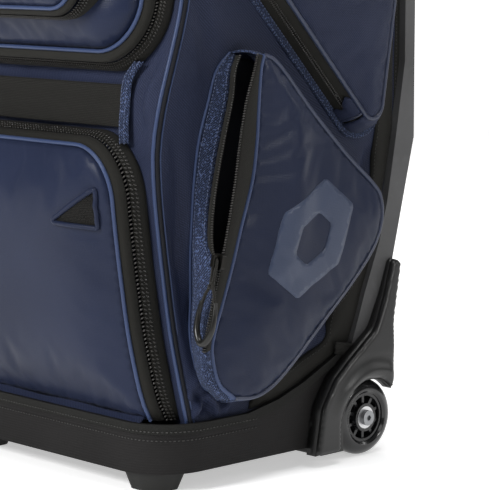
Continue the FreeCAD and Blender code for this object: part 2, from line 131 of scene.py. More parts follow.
def counted(line, count):
    """The line as count points, evenly spaced."""
    line = np.asarray(line, float)
    run = run_along(line)
    places = np.linspace(0, run[-1], count)
    return np.stack([np.interp(places, run, column) for column in line.T], 1)


def even(line, step, closed=False):
    """The line with its points about step apart."""
    line = np.asarray(line, float)
    if closed:
        line = np.vstack([line, line[:1]])
    points = counted(line, max(2, round(run_along(line)[-1] / step)) + 1)
    return points[:-1] if closed else points


def lerp(a, b, share):
    return a + (b - a) * share


def hump(share):
    """0 at both ends of the way and 1 in its middle."""
    return sin(pi * share)


def through(points, step=4.0):
    """A smooth line through given points."""
    p = np.asarray(points, float)
    p = np.vstack([2 * p[0] - p[1], p, 2 * p[-1] - p[-2]])
    line = []
    for a, b, c, d in zip(p, p[1:], p[2:], p[3:]):
        for t in np.linspace(0, 1, 12, endpoint=False):
            line.append(0.5 * (2 * b + (c - a) * t + (2 * a - 5 * b + 4 * c - d) * t**2
                               + (3 * b - a - 3 * c + d) * t**3))
    line.append(p[-2])
    return even(line, step)


def smooth_edge(edge):
    """The y of a (y, z) edge at heights z, with its corners smoothed."""
    line = through([(z, y) for y, z in edge])
    return lambda z: np.interp(z, line[:, 0], line[:, 1])


front_y = smooth_edge(FRONT_EDGE)
back_y = smooth_edge(BACK_EDGE)


def xyz(x, y, z):
    """Points from their coordinates, each an array or one number for all."""
    return np.stack(np.broadcast_arrays(*(np.asarray(values, float) for values in (x, y, z))), 1)


def on_front(drawing, rise, base=front_y):
    """Points (x, z) of the front, rise in front of the body or of another surface."""
    return xyz(drawing[:, 0], base(drawing[:, 1]) - rise, drawing[:, 1])


def on_side(drawing, x):
    """Points (y, z) of the right side, at x."""
    return xyz(x, drawing[:, 0], drawing[:, 1])


def from_edges(points, loops, batch=2000):
    """Each point's distance from the nearest of the closed loops."""
    best = np.full(len(points), 1e9)
    for loop in loops:
        step = np.roll(loop, -1, 0) - loop
        length = np.maximum((step**2).sum(1), 1e-9)
        for k in range(0, len(points), batch):
            away = points[k:k + batch, None, :] - loop
            share = np.clip((away * step).sum(2) / length, 0, 1)[..., None]
            near = np.linalg.norm(away - share * step, axis=2).min(1)
            best[k:k + batch] = np.minimum(best[k:k + batch], near)
    return best


def inside(points, loop):
    """Which points lie in a closed loop."""
    x, y = points[:, :1], points[:, 1:]
    ax, ay = loop[:, 0], loop[:, 1]
    bx, by = np.roll(ax, -1), np.roll(ay, -1)
    crossed = (ay > y) != (by > y)
    slope = (bx - ax) / np.where(by == ay, 1e-9, by - ay)
    return (crossed & (x < ax + (y - ay) * slope)).sum(1) % 2 == 1


# ---- Meshes ----
class Sheet:
    """Points, faces and a flat cloth position for each corner of each face. A closed one is a solid."""

    def __init__(self, points, faces, flat, closed=False):
        self.points = np.asarray(points, float)
        self.faces = faces
        self.flat = flat
        self.closed = closed

    def facing(self, away):
        """Turns the faces of an open sheet, if need be, so that they look away from a point."""
        if self.closed:
            return self
        total = 0.0
        for face in self.faces[::max(1, len(self.faces) // 400)]:
            a, b, c = self.points[face[0]], self.points[face[1]], self.points[face[2]]
            total += np.cross(b - a, c - a) @ (a - away)
        if total < 0:
            self.faces = [face[::-1] for face in self.faces]
            self.flat = [corner[::-1] for corner in self.flat]
        return self

    def mirrored(self):
        turned = ([corners[::-1] for corners in rows] for rows in (self.faces, self.flat))
        return Sheet(self.points * [-1, 1, 1], *turned, self.closed)

    def normals(self):
        total = np.zeros_like(self.points)
        for face in self.faces:
            a, b, c = (self.points[face[k]] for k in (0, 1, 2))
            n = np.cross(b - a, c - a)
            for k in face:
                total[k] += n
        return unit(total)


def joined(sheets):
    sheets = list(sheets)
    points, faces, flat = [], [], []
    for sheet in sheets:
        first = len(points)
        points.extend(sheet.points)
        faces.extend(tuple(k + first for k in face) for face in sheet.faces)
        flat.extend(sheet.flat)
    return Sheet(points, faces, flat, sheets[0].closed)


def grid(lines, ring=False):
    """Quads between lines of equally many points. ring joins the end of each line to its start."""
    lines = [np.asarray(line, float) for line in lines]
    count = len(lines[0])
    middle = lines[len(lines) // 2]
    along = run_along(np.vstack([middle, middle[:1]]))
    gaps = [np.linalg.norm(b - a, axis=1).mean() for a, b in zip(lines, lines[1:])]
    across = np.concatenate([[0], np.cumsum(gaps)])
    faces, flat = [], []
    for r in range(len(lines) - 1):
        for c in range(count if ring else count - 1):
            d = (c + 1) % count
            faces.append((r * count + c, r * count + d, (r + 1) * count + d, (r + 1) * count + c))
            low, high = across[r], across[r + 1]
            flat.append([(along[c], low), (along[c + 1], low), (along[c + 1], high), (along[c], high)])
    return Sheet(np.vstack(lines), faces, flat)


def filled(outline, step, holes=()):
    """Triangles that fill a flat outline: its sheet's points are (a, b, distance from the edges)."""
    loops = [even(loop, step, True) for loop in (outline, *holes)]
    points, edges = [], []
    for loop in loops:
        first = len(points)
        points.extend(Vector(p) for p in loop)
        edges.extend((first + i, first + (i + 1) % len(loop)) for i in range(len(loop)))
    low, high = loops[0].min(0), loops[0].max(0)
    rows = np.arange(low[1], high[1], step * sqrt(0.75))
    columns = np.arange(low[0], high[0], step)
    lattice = np.array([(x + step / 2 * (r % 2), z) for r, z in enumerate(rows) for x in columns])
    # Points nearer to an edge than this would make slivers.
    keep = inside(lattice, loops[0]) & (from_edges(lattice, loops) > 0.6 * step)
    for hole in loops[1:]:
        keep &= ~inside(lattice, hole)
    points.extend(Vector(p) for p in lattice[keep])
    made = geometry.delaunay_2d_cdt(points, edges, [], 1, 1e-5)
    corners = np.array([tuple(p) for p in made[0]])
    faces = [tuple(face) for face in made[2]]
    for hole in loops[1:]:
        taken = inside(np.array([corners[list(face)].mean(0) for face in faces]), hole)
        faces = [face for face, out in zip(faces, taken) if not out]
    flat = [[tuple(corners[k]) for k in face] for face in faces]
    distance = from_edges(corners, loops)
    return Sheet(np.column_stack([corners, distance]), faces, flat)


def tube(line, radius, sides=10, ring=False):
    """A round cord along a line, or round it as a ring. radius is one number or one for each point."""
    line = np.asarray(line, float)
    radius = np.broadcast_to(radius, len(line))
    if ring:
        ahead = unit(np.roll(line, -1, 0) - np.roll(line, 1, 0))
    else:
        ahead = unit(np.gradient(line, axis=0))
    out = np.zeros_like(line)
    side = np.cross(ahead[0], [0.3, 0.2, 0.93])
    for k, along in enumerate(ahead):
        side = unit(side - along * (side @ along))
        out[k] = side
    up = np.cross(ahead, out)
    rings = []
    for k in range(sides):
        turn = 2 * pi * k / sides
        rings.append(line + (out * cos(turn) + up * sin(turn)) * radius[:, None])
    made = grid([*rings, rings[0]], ring)
    count = len(line)
    faces = [tuple(k % (sides * count) for k in face[::-1]) for face in made.faces]
    if not ring:
        for end in (0, count - 1):
            cap = [k * count + end for k in range(sides)]
            faces.append(tuple(cap[::-1] if end else cap))
            made.flat.append([(0, 0)] * sides)
    return Sheet(made.points[:sides * count], faces, made.flat, True)


GOLDEN = (1 + sqrt(5)) / 2
LUMP = [(-1, GOLDEN, 0), (1, GOLDEN, 0), (-1, -GOLDEN, 0), (1, -GOLDEN, 0)]  # a solid with twenty faces
LUMP = unit(LUMP + [(z, x, y) for x, y, z in LUMP] + [(y, z, x) for x, y, z in LUMP])
LUMP_FACES = [(0, 11, 5), (0, 5, 1), (0, 1, 7), (0, 7, 10), (0, 10, 11), (1, 5, 9), (5, 11, 4),
              (11, 10, 2), (10, 7, 6), (7, 1, 8), (3, 9, 4), (3, 4, 2), (3, 2, 6), (3, 6, 8), (3, 8, 9),
              (4, 9, 5), (2, 4, 11), (6, 2, 10), (8, 6, 7), (9, 8, 1)]


def beads(line, out, size, turn=0.0):
    """Small rounded lumps at the points of a line: size is along, across and out, turned about out."""
    line = np.asarray(line, float)
    out = np.broadcast_to(unit(out), line.shape)
    along = unit(np.gradient(line, axis=0))
    across = unit(np.cross(out, along))
    c, s = cos(turn), sin(turn)
    first, second = along * c + across * s, across * c - along * s
    half = np.array(size) / 2
    points, faces, flat = [], [], []
    for k in range(len(line)):
        start = len(points)
        axes = np.stack([first[k] * half[0], second[k] * half[1], out[k] * half[2]])
        points.extend(line[k] + LUMP @ axes)
        faces.extend(tuple(v + start for v in face) for face in LUMP_FACES)
        flat.extend([[(k * 2.0, 0), (k * 2.0 + 1, 0), (k * 2.0, 1)]] * len(LUMP_FACES))
    return Sheet(points, faces, flat, True)


def struck(sheet, starts, way, missing):
    """Where rays first meet a sheet, as a place on the axis that they run along."""
    tree = BVHTree.FromPolygons([Vector(p) for p in sheet.points], [tuple(face) for face in sheet.faces])
    axis = int(np.argmax(np.abs(way)))
    hits = [tree.ray_cast(Vector(start), Vector(way))[0] for start in starts]
    return np.array([hit[axis] if hit else missing for hit in hits])


# ---- Pieces ----
LOOKS = {}  # every material, by its slot's name
MIDDLE = np.array([0.0, 20.0, 430.0])
SIDES = (("right", 1), ("left", -1))


def linked(name, data):
    thing = bpy.data.objects.new(name, data)
    bpy.context.scene.collection.objects.link(thing)
    return thing


def meshed(name, sheet):
    mesh = bpy.data.meshes.new(name)
    mesh.from_pydata([tuple(p) for p in sheet.points * MM], [], sheet.faces)
    return mesh


def piece(name, sheet, look, body="bag", finish=None, thick=0.0, away=MIDDLE, replaces=()):
    """Makes one visible piece from a sheet and fastens it to its CAD body, unless body is None.

    look is its slot, and finish its material where that isn't the slot's own. An open sheet's faces look
    away from the point away.
    """
    mesh = meshed(name, sheet.facing(np.asarray(away, float)))
    mesh.polygons.foreach_set("use_smooth", [True] * len(mesh.polygons))
    corners = [corner for face in sheet.flat for corner in face]
    mesh.uv_layers.new(name="cloth").data.foreach_set("uv", (np.array(corners, float) * MM).ravel())
    mesh.update()
    thing = linked(name, mesh)
    if thick:
        wall = thing.modifiers.new("wall", "SOLIDIFY")
        wall.thickness = thick * MM
        wall.offset = -1
    mesh.materials.append(LOOKS[finish or look])
    if body:
        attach(thing, body)
    if replaces:
        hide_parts(*replaces)
    return thing


def both_sides(name, sheet, look, replaces=(), away=MIDDLE, **how):
    """One piece on the right side and its mirror image on the left."""
    away = np.asarray(away, float)
    sheet.facing(away)
    for (side, flip), form in zip(SIDES, (sheet, sheet.mirrored())):
        nodes = [node + "_" + side for node in replaces]
        piece(name + "_" + side, form, look, away=away * [flip, 1, 1], replaces=nodes, **how)


def stitched(lines, out, size, turn=0.0):
    """Stitches or zip teeth at the points of some lines."""
    return joined(beads(line, out, size, turn) for line in lines)


CLOTH = {"vertex_group_mass": "held", "quality": 6, "mass": 0.15, "tension_stiffness": 20,
         "compression_stiffness": 20, "shear_stiffness": 8, "bending_stiffness": 0.6, "use_pressure": True}
CLOTH_FRAMES = 18
HELD = 0.5  # cloth nearer to its edge than this is sewn down


def billow(sheet, held, pressure, slack, cap):
    """Cloth that is held at some points and blown out along its normals. Points move by cap at most.

    slack is the share by which the cloth is larger than its outline.
    """
    thing = linked("cloth", meshed("cloth", sheet))
    thing.vertex_groups.new(name="held").add([int(k) for k in np.nonzero(held)[0]], 1.0, "REPLACE")
    settings = thing.modifiers.new("cloth", "CLOTH").settings
    for key, value in {**CLOTH, "uniform_pressure_force": pressure, "shrink_min": -slack}.items():
        setattr(settings, key, value)
    settings.effector_weights.gravity = 0
    for step in range(1, CLOTH_FRAMES + 1):
        bpy.context.scene.frame_set(step)
    seen = thing.evaluated_get(bpy.context.evaluated_depsgraph_get())
    moved = np.array([tuple(v.co) for v in seen.data.vertices]) / MM - sheet.points
    bpy.data.objects.remove(thing)
    bpy.context.scene.frame_set(1)
    far = np.linalg.norm(moved, axis=1, keepdims=True)
    # The cap comes on softly, so that it leaves no flat spot.
    moved *= cap * np.tanh(far / cap) / np.maximum(far, 1e-6)
    return Sheet(sheet.points + moved, sheet.faces, sheet.flat)


# ---- Materials ----
BAND = 2 * pi / 20  # the period of a wave texture of scale 1
FINE = 900.0  # noise of about a millimetre


class Look:
    """A material, and the nodes that its colour, roughness and relief are made with."""

    def __init__(self, name, roughness, **sockets):
        LOOKS[name] = material = bpy.data.materials.new(name + "_finish")
        material.use_nodes = True
        self.tree = material.node_tree
        self.shader = self.tree.nodes["Principled BSDF"]
        self.roughness = roughness
        self.put(self.shader, {"Roughness": roughness})
        self.put(self.shader, {key.replace("_", " "): value for key, value in sockets.items()})
        where = self.node("TexCoord").outputs
        self.flat, self.place = where["UV"], where["Object"]

    def put(self, target, values):
        """Sets or links a node's sockets."""
        for key, value in values.items():
            if isinstance(value, bpy.types.NodeSocket):
                self.tree.links.new(value, target.inputs[key])
            else:
                target.inputs[key].default_value = value

    def node(self, kind, values=(), **settings):
        made = self.tree.nodes.new("ShaderNode" + kind)
        for key, value in settings.items():
            setattr(made, key, value)
        self.put(made, dict(values))
        return made

    def add(self, a, b):
        return self.node("Math", {0: a, 1: b}, operation="ADD").outputs[0]

    def times(self, a, b):
        return self.node("Math", {0: a, 1: b}, operation="MULTIPLY").outputs[0]

    def mix(self, factor, a, b, mode="MIX"):
        return self.node("Mix", {0: factor, 6: a, 7: b}, data_type="RGBA", blend_type=mode).outputs[2]

    def ramp(self, value, low, high):
        """The value spread so that low becomes 0 and high 1."""
        return self.node("MapRange", {"Value": value, "From Min": low, "From Max": high}).outputs[0]

    def stripes(self, where, period, way):
        """A wave of that period in metres."""
        share = 2.0 if way == "DIAGONAL" else 1.0
        values = {"Vector": where, "Scale": share * BAND / period, "Distortion": 0.0}
        return self.node("TexWave", values, bands_direction=way).outputs["Fac"]

    def cloud(self, scale, detail=3.0, where=None):
        values = {"Vector": self.place if where is None else where, "Scale": scale, "Detail": detail}
        return self.node("TexNoise", values).outputs["Fac"]

    def finish(self, colour, rough, height, strength, distance):
        """Links the colour, the roughness round its own value, and the relief."""
        bump = self.node("Bump", {"Strength": strength, "Distance": distance, "Height": height})
        rough = self.add(rough, self.roughness - 0.1)
        self.put(self.shader, {"Base Color": colour, "Roughness": rough, "Normal": bump.outputs[0]})


def shade(colour, factor=1.0):
    """A colour for a socket, from three shares or one grey."""
    return (*(np.broadcast_to(colour, 3) * factor), 1.0)


def woven(name, dark, light, thread, roughness=0.75, relief=0.5, diagonal=0.6, sheen=0.25, fleck=0.0):
    """Cloth: diagonal and straight threads, uneven dye, worn lighter in places. thread is in millimetres."""
    look = Look(name, roughness, Sheen_Weight=sheen * 0.3, Sheen_Roughness=0.45, Specular_IOR_Level=0.12)
    twill = look.stripes(look.flat, thread * MM, "DIAGONAL")
    straight = look.times(*(look.stripes(look.flat, thread * MM * 0.62, way) for way in "XY"))
    threads = look.add(look.times(twill, diagonal), look.times(straight, 1 - diagonal))
    grain = look.cloud(FINE)
    mixed = look.add(threads, look.times(look.add(grain, -0.5), 0.7 + fleck))
    colour = look.mix(look.ramp(mixed, 0.1, 0.9), shade(dark), shade(light))
    if fleck:
        spots = look.ramp(look.cloud(620.0, 1.0), 0.57, 0.66)
        colour = look.mix(look.times(spots, fleck), colour, shade(light, 2.8))
    worn = look.mix(look.ramp(look.cloud(9.0), 0.2, 0.8), shade(0.6), shade(1.25))
    colour = look.mix(0.35, colour, worn, "MULTIPLY")
    look.finish(colour, look.times(grain, 0.16), mixed, relief, thread * MM * 0.35)


def coated(name, dark, light, roughness, weave, gloss):
    """Coated cloth: a soft gloss over a fine weave. weave is in millimetres."""
    look = Look(name, roughness, Sheen_Weight=0.03, Sheen_Roughness=0.35, Specular_IOR_Level=gloss)
    threads = look.times(*(look.stripes(look.flat, weave * MM, way) for way in "XY"))
    mixed = look.add(look.times(threads, 0.35), look.times(look.cloud(FINE, 4.0), 0.65))
    tone = look.add(look.times(mixed, 0.4), look.times(look.cloud(7.0, 2.0), 0.6))
    colour = look.mix(look.ramp(tone, 0.3, 0.7), shade(dark), shade(light))
    look.finish(colour, look.times(mixed, 0.2), mixed, 0.35, 0.0004)


def moulded(name, dark, light, roughness, grain, relief, **sockets):
    """Moulded plastic or rubber: fine grain, scuffs and a slight unevenness."""
    look = Look(name, roughness, **{"Specular_IOR_Level": 0.25, **sockets})
    drift = look.cloud(14.0, 4.0)
    scuff = look.ramp(look.cloud(60.0, 6.0), 0.58, 0.75)
    colour = look.mix(look.ramp(drift, 0.3, 0.7), shade(dark), shade(light))
    colour = look.mix(look.times(scuff, 0.25), colour, shade(light, 1.8))
    rough = look.add(look.times(drift, 0.18), look.times(scuff, 0.1))
    look.finish(colour, rough, look.cloud(grain, 2.0), relief, 0.0003)


def embossed(name, dark, light):
    """The tub's shell: moulded with the look of a coarse cloth."""
    look = Look(name, 0.62, Specular_IOR_Level=0.1)
    slanting = look.stripes(look.place, 0.0022, "DIAGONAL")
    threads = look.times(slanting, look.stripes(look.place, 0.0024, "Z"))
    weave = look.add(threads, look.times(look.cloud(FINE, 2.0), 0.8))
    drift = look.cloud(11.0, 4.0)
    tone = look.ramp(look.add(look.times(weave, 0.5), drift), 0.5, 1.2)
    colour = look.mix(tone, shade(dark), shade(light))
    look.finish(colour, look.times(drift, 0.2), weave, 0.3, 0.0006)


def metal(name, colour, roughness):
    """Bare or painted metal with fine brushing and smudges."""
    look = Look(name, roughness, Metallic=1.0)
    stretched = look.node("Mapping", {"Vector": look.place, "Scale": (1600, 1600, 60)}).outputs[0]
    lines = look.cloud(1.0, 3.0, stretched)
    smudge = look.cloud(40.0)
    rough = look.add(look.times(lines, 0.15), look.times(smudge, 0.1))
    look.finish(look.mix(smudge, shade(colour, 0.8), shade(colour, 1.1)), rough, lines, 0.1, 0.0001)


woven("navy_nylon", (0.0095, 0.0135, 0.033), (0.026, 0.034, 0.072), 2.4, 0.6, 0.45, sheen=0.15)
woven("black_band", (0.010, 0.0098, 0.0085), (0.026, 0.025, 0.022), 1.7, 0.8, 0.4, 0.3, 0.08)
woven("denim_gusset", (0.007, 0.010, 0.024), (0.040, 0.056, 0.110), 2.6, 0.8, 0.8, 0.75, 0.1, 0.75)
woven("webbing", (0.008, 0.0078, 0.007), (0.030, 0.029, 0.026), 2.6, 0.8, 0.7, 0.2, 0.08)
woven("lining", (0.007, 0.0075, 0.010), (0.016, 0.017, 0.022), 2.0, 0.8, 0.3, sheen=0.05)
woven("thread_dark", 0.030, (0.085, 0.083, 0.078), 0.8, 0.7, 0.3)
woven("thread_blue", (0.060, 0.080, 0.150), (0.180, 0.210, 0.320), 0.8, 0.7, 0.3)
woven("mesh_black", 0.004, (0.034, 0.032, 0.028), 2.6, 0.8, 1.0, 0.1, 0.05)
woven("binding_tape", (0.014, 0.014, 0.013), (0.080, 0.077, 0.070), 3.0, 0.8, 0.9, 0.9, 0.06)
woven("cord_black", (0.008, 0.0075, 0.006), (0.030, 0.028, 0.024), 1.1, 0.7, 0.8, 0.9)
coated("navy_coated", (0.010, 0.014, 0.032), (0.017, 0.023, 0.050), 0.38, 1.5, 0.12)
coated("piping_blue", (0.022, 0.036, 0.088), (0.040, 0.062, 0.138), 0.4, 1.2, 0.25)
coated("piping_navy", (0.014, 0.020, 0.046), (0.026, 0.036, 0.074), 0.4, 1.2, 0.4)
coated("print_slate", (0.034, 0.045, 0.080), (0.052, 0.067, 0.114), 0.36, 1.5, 0.22)
moulded("zip_coil", (0.012, 0.011, 0.010), (0.022, 0.020, 0.017), 0.30, 500.0, 0.1, Specular_IOR_Level=0.5)
moulded("housing_plastic", 0.007, 0.013, 0.4, 900.0, 0.25, Specular_IOR_Level=0.4)
moulded("frame_plastic", (0.054, 0.054, 0.055), (0.082, 0.082, 0.084), 0.55, 900.0, 0.3)
moulded("back_plastic", (0.010, 0.010, 0.0105), (0.018, 0.018, 0.0185), 0.6, 500.0, 0.5)
moulded("board_plastic", 0.040, 0.060, 0.6, 700.0, 0.2)
moulded("foot_rubber", (0.008, 0.008, 0.0075), (0.015, 0.015, 0.014), 0.62, 900.0, 0.3)
moulded("tyre_urethane", (0.004, 0.004, 0.0045), (0.008, 0.008, 0.009), 0.22, 300.0, 0.03,
        Specular_IOR_Level=0.3, Coat_Weight=0.4, Coat_Roughness=0.05)
moulded("hub_plastic", (0.008, 0.008, 0.009), (0.015, 0.015, 0.016), 0.28, 500.0, 0.08, Coat_Weight=0.3)
moulded("grip_rubber", 0.016, 0.028, 0.6, 800.0, 0.5)
moulded("button_plastic", (0.045, 0.045, 0.050), (0.070, 0.070, 0.076), 0.3, 800.0, 0.08)
moulded("pull_rubber", (0.006, 0.006, 0.0055), (0.011, 0.011, 0.010), 0.3, 700.0, 0.15, Coat_Weight=0.2)
embossed("tub_plastic", (0.009, 0.0085, 0.0085), (0.019, 0.018, 0.018))
metal("bearing_steel", (0.55, 0.55, 0.56), 0.3)
metal("screw_steel", (0.45, 0.45, 0.46), 0.35)
metal("bolt_steel", (0.26, 0.265, 0.275), 0.34)
metal("tube_aluminium", (0.66, 0.66, 0.67), 0.32)
metal("spacer_aluminium", 0.70, 0.3)
metal("tube_black", (0.045, 0.045, 0.048), 0.35)
metal("slider_metal", (0.024, 0.023, 0.021), 0.34)


# ---- Stage: floor, lights and camera ----
CAMERA_TURN = radians(46.35)  # the camera looks along -X and +Y by this much
CAMERA_DOWN = radians(7.9)
CAMERA_AIM = Vector((0.106, 0.024, 0.213))
CAMERA_DISTANCE = 2.2
CAMERA_LENS = 166.8
FLOOR_RADIUS = 24.0
LIGHT_AIM = Vector((0, 0, 0.35))
LIGHTS = (  # name, place, size and power
    ("key", (-0.3, -3.4, 2.3), 1.2, 135.0),
    ("side", (3.0, -0.9, 1.5), 0.9, 5.0),
    ("sheen", (3.2, 0.5, 1.5), 0.5, 40.0),
    ("overhead", (0.5, 0.1, 3.0), 1.6, 55.0),
    ("rear", (1.6, 2.6, 1.5), 1.0, 14.0),
    ("rear_left", (-2.4, 1.6, 1.4), 1.2, 18.0),
)


def make_floor():
    """A pale floor that glows more with distance, so that it runs into the white background."""
    around = [2 * pi * k / 64 for k in range(64)]
    points = [(0, 0, 0)] + [(FLOOR_RADIUS * cos(a), FLOOR_RADIUS * sin(a), 0) for a in around]
    mesh = bpy.data.meshes.new("floor")
    mesh.from_pydata(points, [], [(0, k + 1, (k + 1) % 64 + 1) for k in range(64)])
    look = Look("floor_pale", 0.7, Specular_IOR_Level=0.2)
    colour = look.mix(look.cloud(0.8, 2.0), shade(0.90), shade(0.94))
    far = look.node("VectorMath", {0: look.place}, operation="LENGTH").outputs["Value"]
    glow = look.add(look.times(look.ramp(far, 2.0, 7.0), 0.75), 0.48)
    look.put(look.shader, {"Base Color": colour, "Emission Color": shade(1.0), "Emission Strength": glow})
    mesh.materials.append(LOOKS["floor_pale"])
    linked("floor", mesh)


def make_lights():
    world = bpy.data.worlds.new("studio")
    world.use_nodes = True
    sky = world.node_tree.nodes["Background"].inputs
    sky["Color"].default_value = (1.0, 1.0, 1.0, 1)
    sky["Strength"].default_value = 0.12
    bpy.context.scene.world = world
    bpy.context.scene.view_settings.view_transform = "Standard"
    for name, place, size, power in LIGHTS:
        light = bpy.data.lights.new(name, "AREA")
        light.size = size
        light.energy = power
        lamp = linked(name, light)
        lamp.location = place
        lamp.rotation_euler = (LIGHT_AIM - Vector(place)).to_track_quat("-Z", "Y").to_euler()
        lamp.visible_diffuse = name != "sheen"


def make_camera():
    level = cos(CAMERA_DOWN)
    ahead = Vector((-sin(CAMERA_TURN) * level, cos(CAMERA_TURN) * level, -sin(CAMERA_DOWN)))
    data = bpy.data.cameras.new("camera")
    data.lens = CAMERA_LENS
    data.sensor_width = 36.0
    camera = linked("camera", data)
    camera.location = CAMERA_AIM - ahead * CAMERA_DISTANCE
    camera.rotation_euler = ahead.to_track_quat("-Z", "Y").to_euler()
    bpy.context.scene.camera = camera


# ---- Pull cords of the side pockets ----
def both_ways(half, middle=()):
    """A line across the middle from its right half, whose points (across, up) start at the outer end."""
    return [(-across, up) for across, up in half] + [*middle] + half[::-1]


# In the plane of the pull, from its pivot on the slider: (across, up).
PULL_ROUTE = both_ways([(8.6, -41), (6.6, -31), (1.4, -23), (1.6, -12), (2.6, 1.8)])
PULL_GRIP = both_ways([(8.8, -37), (10.5, -50), (9.5, -63), (5.0, -72)], [(0, -75)])
PULL_PIVOT = np.array([206.0, -108.016, 220.870])
PULL_LEAN = radians(13.1)
CORD_WIDE = 0.003


def hung(across, up, out=0.0):
    """A point of a pull, from its pivot: across, up along the lean, and out from the bag."""
    c, s = cos(PULL_LEAN), sin(PULL_LEAN)
    return PULL_PIVOT + np.array([across, up * s - out * c, up * c + out * s])


def make_cords():
    # The grip is a U of rubber that thins towards the two ends that hold the cord.
    bend = through([hung(*place) for place in PULL_GRIP], 1.5)
    thin = 3.3 - 1.3 * np.abs(np.linspace(-1, 1, len(bend))) ** 1.5
    knot = np.array([hung(2.3 * cos(a), -22 + 2.3 * sin(a), 0.9 * sin(2 * a))
                     for a in np.linspace(0, 6, 16)])
    for side, flip in SIDES:
        body = "side_pull_" + side
        points = [hung(*place) * [flip, 1, 1] * MM for place in PULL_ROUTE]
        data = bpy.data.curves.new("pull_loop_" + side, "CURVE")
        data.dimensions = "3D"
        data.bevel_depth = CORD_WIDE / 2
        data.bevel_resolution = 3
        data.resolution_u = 12
        data.use_fill_caps = True
        spline = data.splines.new("NURBS")
        spline.points.add(len(points) - 1)
        for place, point in zip(spline.points, points):
            place.co = (*point, 1)
        spline.order_u = 3
        spline.use_endpoint_u = True
        loop = linked("pull_loop_" + side, data)
        data.materials.append(LOOKS["cord_black"])
        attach(loop, body)
        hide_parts("pull_cord_" + side)
        grip = piece("pull_hook_" + side, tube(bend * [flip, 1, 1], thin, 12), "pull_rubber", body,
                     replaces=["pull_grip_" + side])
        piece("pull_knot_" + side, tube(knot * [flip, 1, 1], 1.6, 8), "cord_black", body)


# ---- Body ----
def crease(points, line, width, depth):
    """How far a soft valley along a line pushes in at each point (a, b)."""
    line = through(line, 3.0)
    near = np.full(len(points), 1e9)
    share = np.zeros(len(points))
    for k, place in enumerate(line):
        d = np.linalg.norm(points - place, axis=1)
        closer = d < near
        near[closer] = d[closer]
        share[closer] = k / (len(line) - 1)
    fade = np.sin(np.clip(share, 0.02, 0.98) * pi) ** 0.6
    return -depth * fade * np.exp(-(near / width) ** 2)


def ripple(points, size, seed):
    """Smooth uneven swelling between -1 and 1 over points (a, b)."""
    return np.array([noise.noise(Vector((p[0] / size, p[1] / size, seed))) for p in points])


def corner_line(x_inset, rise):
    """The seam line round the front: up the right side, over the top and down the left."""
    half, top = HALF_WIDTH - x_inset, TOP - x_inset
    low = TUB_EDGE[0][1] - 4
    arch = [(half, low), (half, top, TOP_RADIUS), (-half, top, TOP_RADIUS), (-half, low)]
    return on_front(rounded(arch, line=40, arc=24, closed=False), rise)


# Folds of the cloth, each as its line, its width and its depth.
CORNER_CREASES = (
    ([(143, 402), (133, 380), (131, 358), (140, 334)], 4.5, 5.0),
    ([(149, 394), (142, 372), (143, 350)], 4.0, -4.5),
)
FRONT_CREASES = (
    *CORNER_CREASES,
    ([(112, 392), (108, 372), (112, 344)], 8.0, 1.8),
    ([(30, 390), (-20, 382), (-70, 388)], 8.0, 2.4),
    *(([(-x, z) for x, z in line], width, depth) for line, width, depth in CORNER_CREASES),
    ([(-60, 333), (0, 334), (60, 334)], 6.0, 1.6),
)
SIDE_CREASES = (
    ([(-97, 66), (-88, 80), (-78, 88), (-70, 78), (-64, 66)], 3.6, -5.0),
    ([(-90, 64), (-84, 74), (-79, 78), (-74, 72), (-70, 64)], 3.0, 3.4),
    ([(-104, 84), (-96, 96), (-90, 112), (-92, 128)], 3.6, -2.6),
    ([(-58, 66), (-50, 76), (-40, 82), (-28, 78)], 3.6, -4.0),
    ([(-104, 250), (-106, 210), (-103, 170), (-98, 130)], 3.4, -2.4),
    ([(-118, 330), (-112, 290), (-110, 240), (-104, 190), (-92, 140), (-78, 100)], 6.0, 4.5),
    ([(-124, 300), (-120, 250), (-112, 205), (-106, 160), (-98, 118)], 4.0, 3.0),
    ([(-88, 118), (-74, 104), (-58, 84), (-40, 76)], 6.0, 5.0),
    ([(-96, 96), (-84, 84), (-74, 72)], 5.0, 4.5),
    ([(-60, 92), (-44, 86), (-24, 76), (-10, 74)], 5.5, 4.5),
    ([(-20, 100), (6, 104), (30, 112), (56, 128)], 7.0, 5.0),
    ([(40, 104), (62, 118), (84, 140), (100, 160)], 6.0, 4.0),
    ([(84, 160), (104, 190), (118, 220)], 7.0, 4.0),
    ([(-96, 470), (-84, 440), (-76, 410), (-80, 380)], 9.0, 3.0),
    ([(120, 262), (134, 286), (140, 310)], 7.0, 4.0),
)


def make_front_panel():
    half, top = HALF_WIDTH - SHEET, TOP - 1
    outline = rounded([(-half, 58), (half, 58), (half, top, TOP_RADIUS), (-half, top, TOP_RADIUS)])
    lower = rounded([(-OPENING, 72), (OPENING, 72), (OPENING, 316, 46), (-OPENING, 316, 46)])
    upper = rounded([(-OPENING, 402, 46), (OPENING, 402, 46), (OPENING, 796), (-OPENING, 796)])
    sheet = filled(outline, 4.0, (lower, upper))
    drawing, edge = sheet.points[:, :2], sheet.points[:, 2]
    x, z = drawing.T
    # The waist swells between the two doors, and the cloth rolls back to the corner seam.
    waist = np.exp(-((z - 360) / 22) ** 2) * (1 - (x / half) ** 4)
    folds = sum(crease(drawing, *fold) for fold in FRONT_CREASES)
    rise = folds + 5.0 * waist + 1.1 * ripple(drawing, 26, 2.0)
    roll = np.clip(np.abs(x) - (half - 9), 0, 9) / 9
    sheet.points = on_front(drawing, rise * np.clip(edge / 6, 0, 1) - 3.5 * roll**2)
    piece("front_cloth", sheet, "navy_nylon", thick=2.4, replaces=["front_panel"])


def above_tub(y):
    """The height of the tub's edge at y."""
    return np.interp(y, *np.array(TUB_EDGE, float).T)


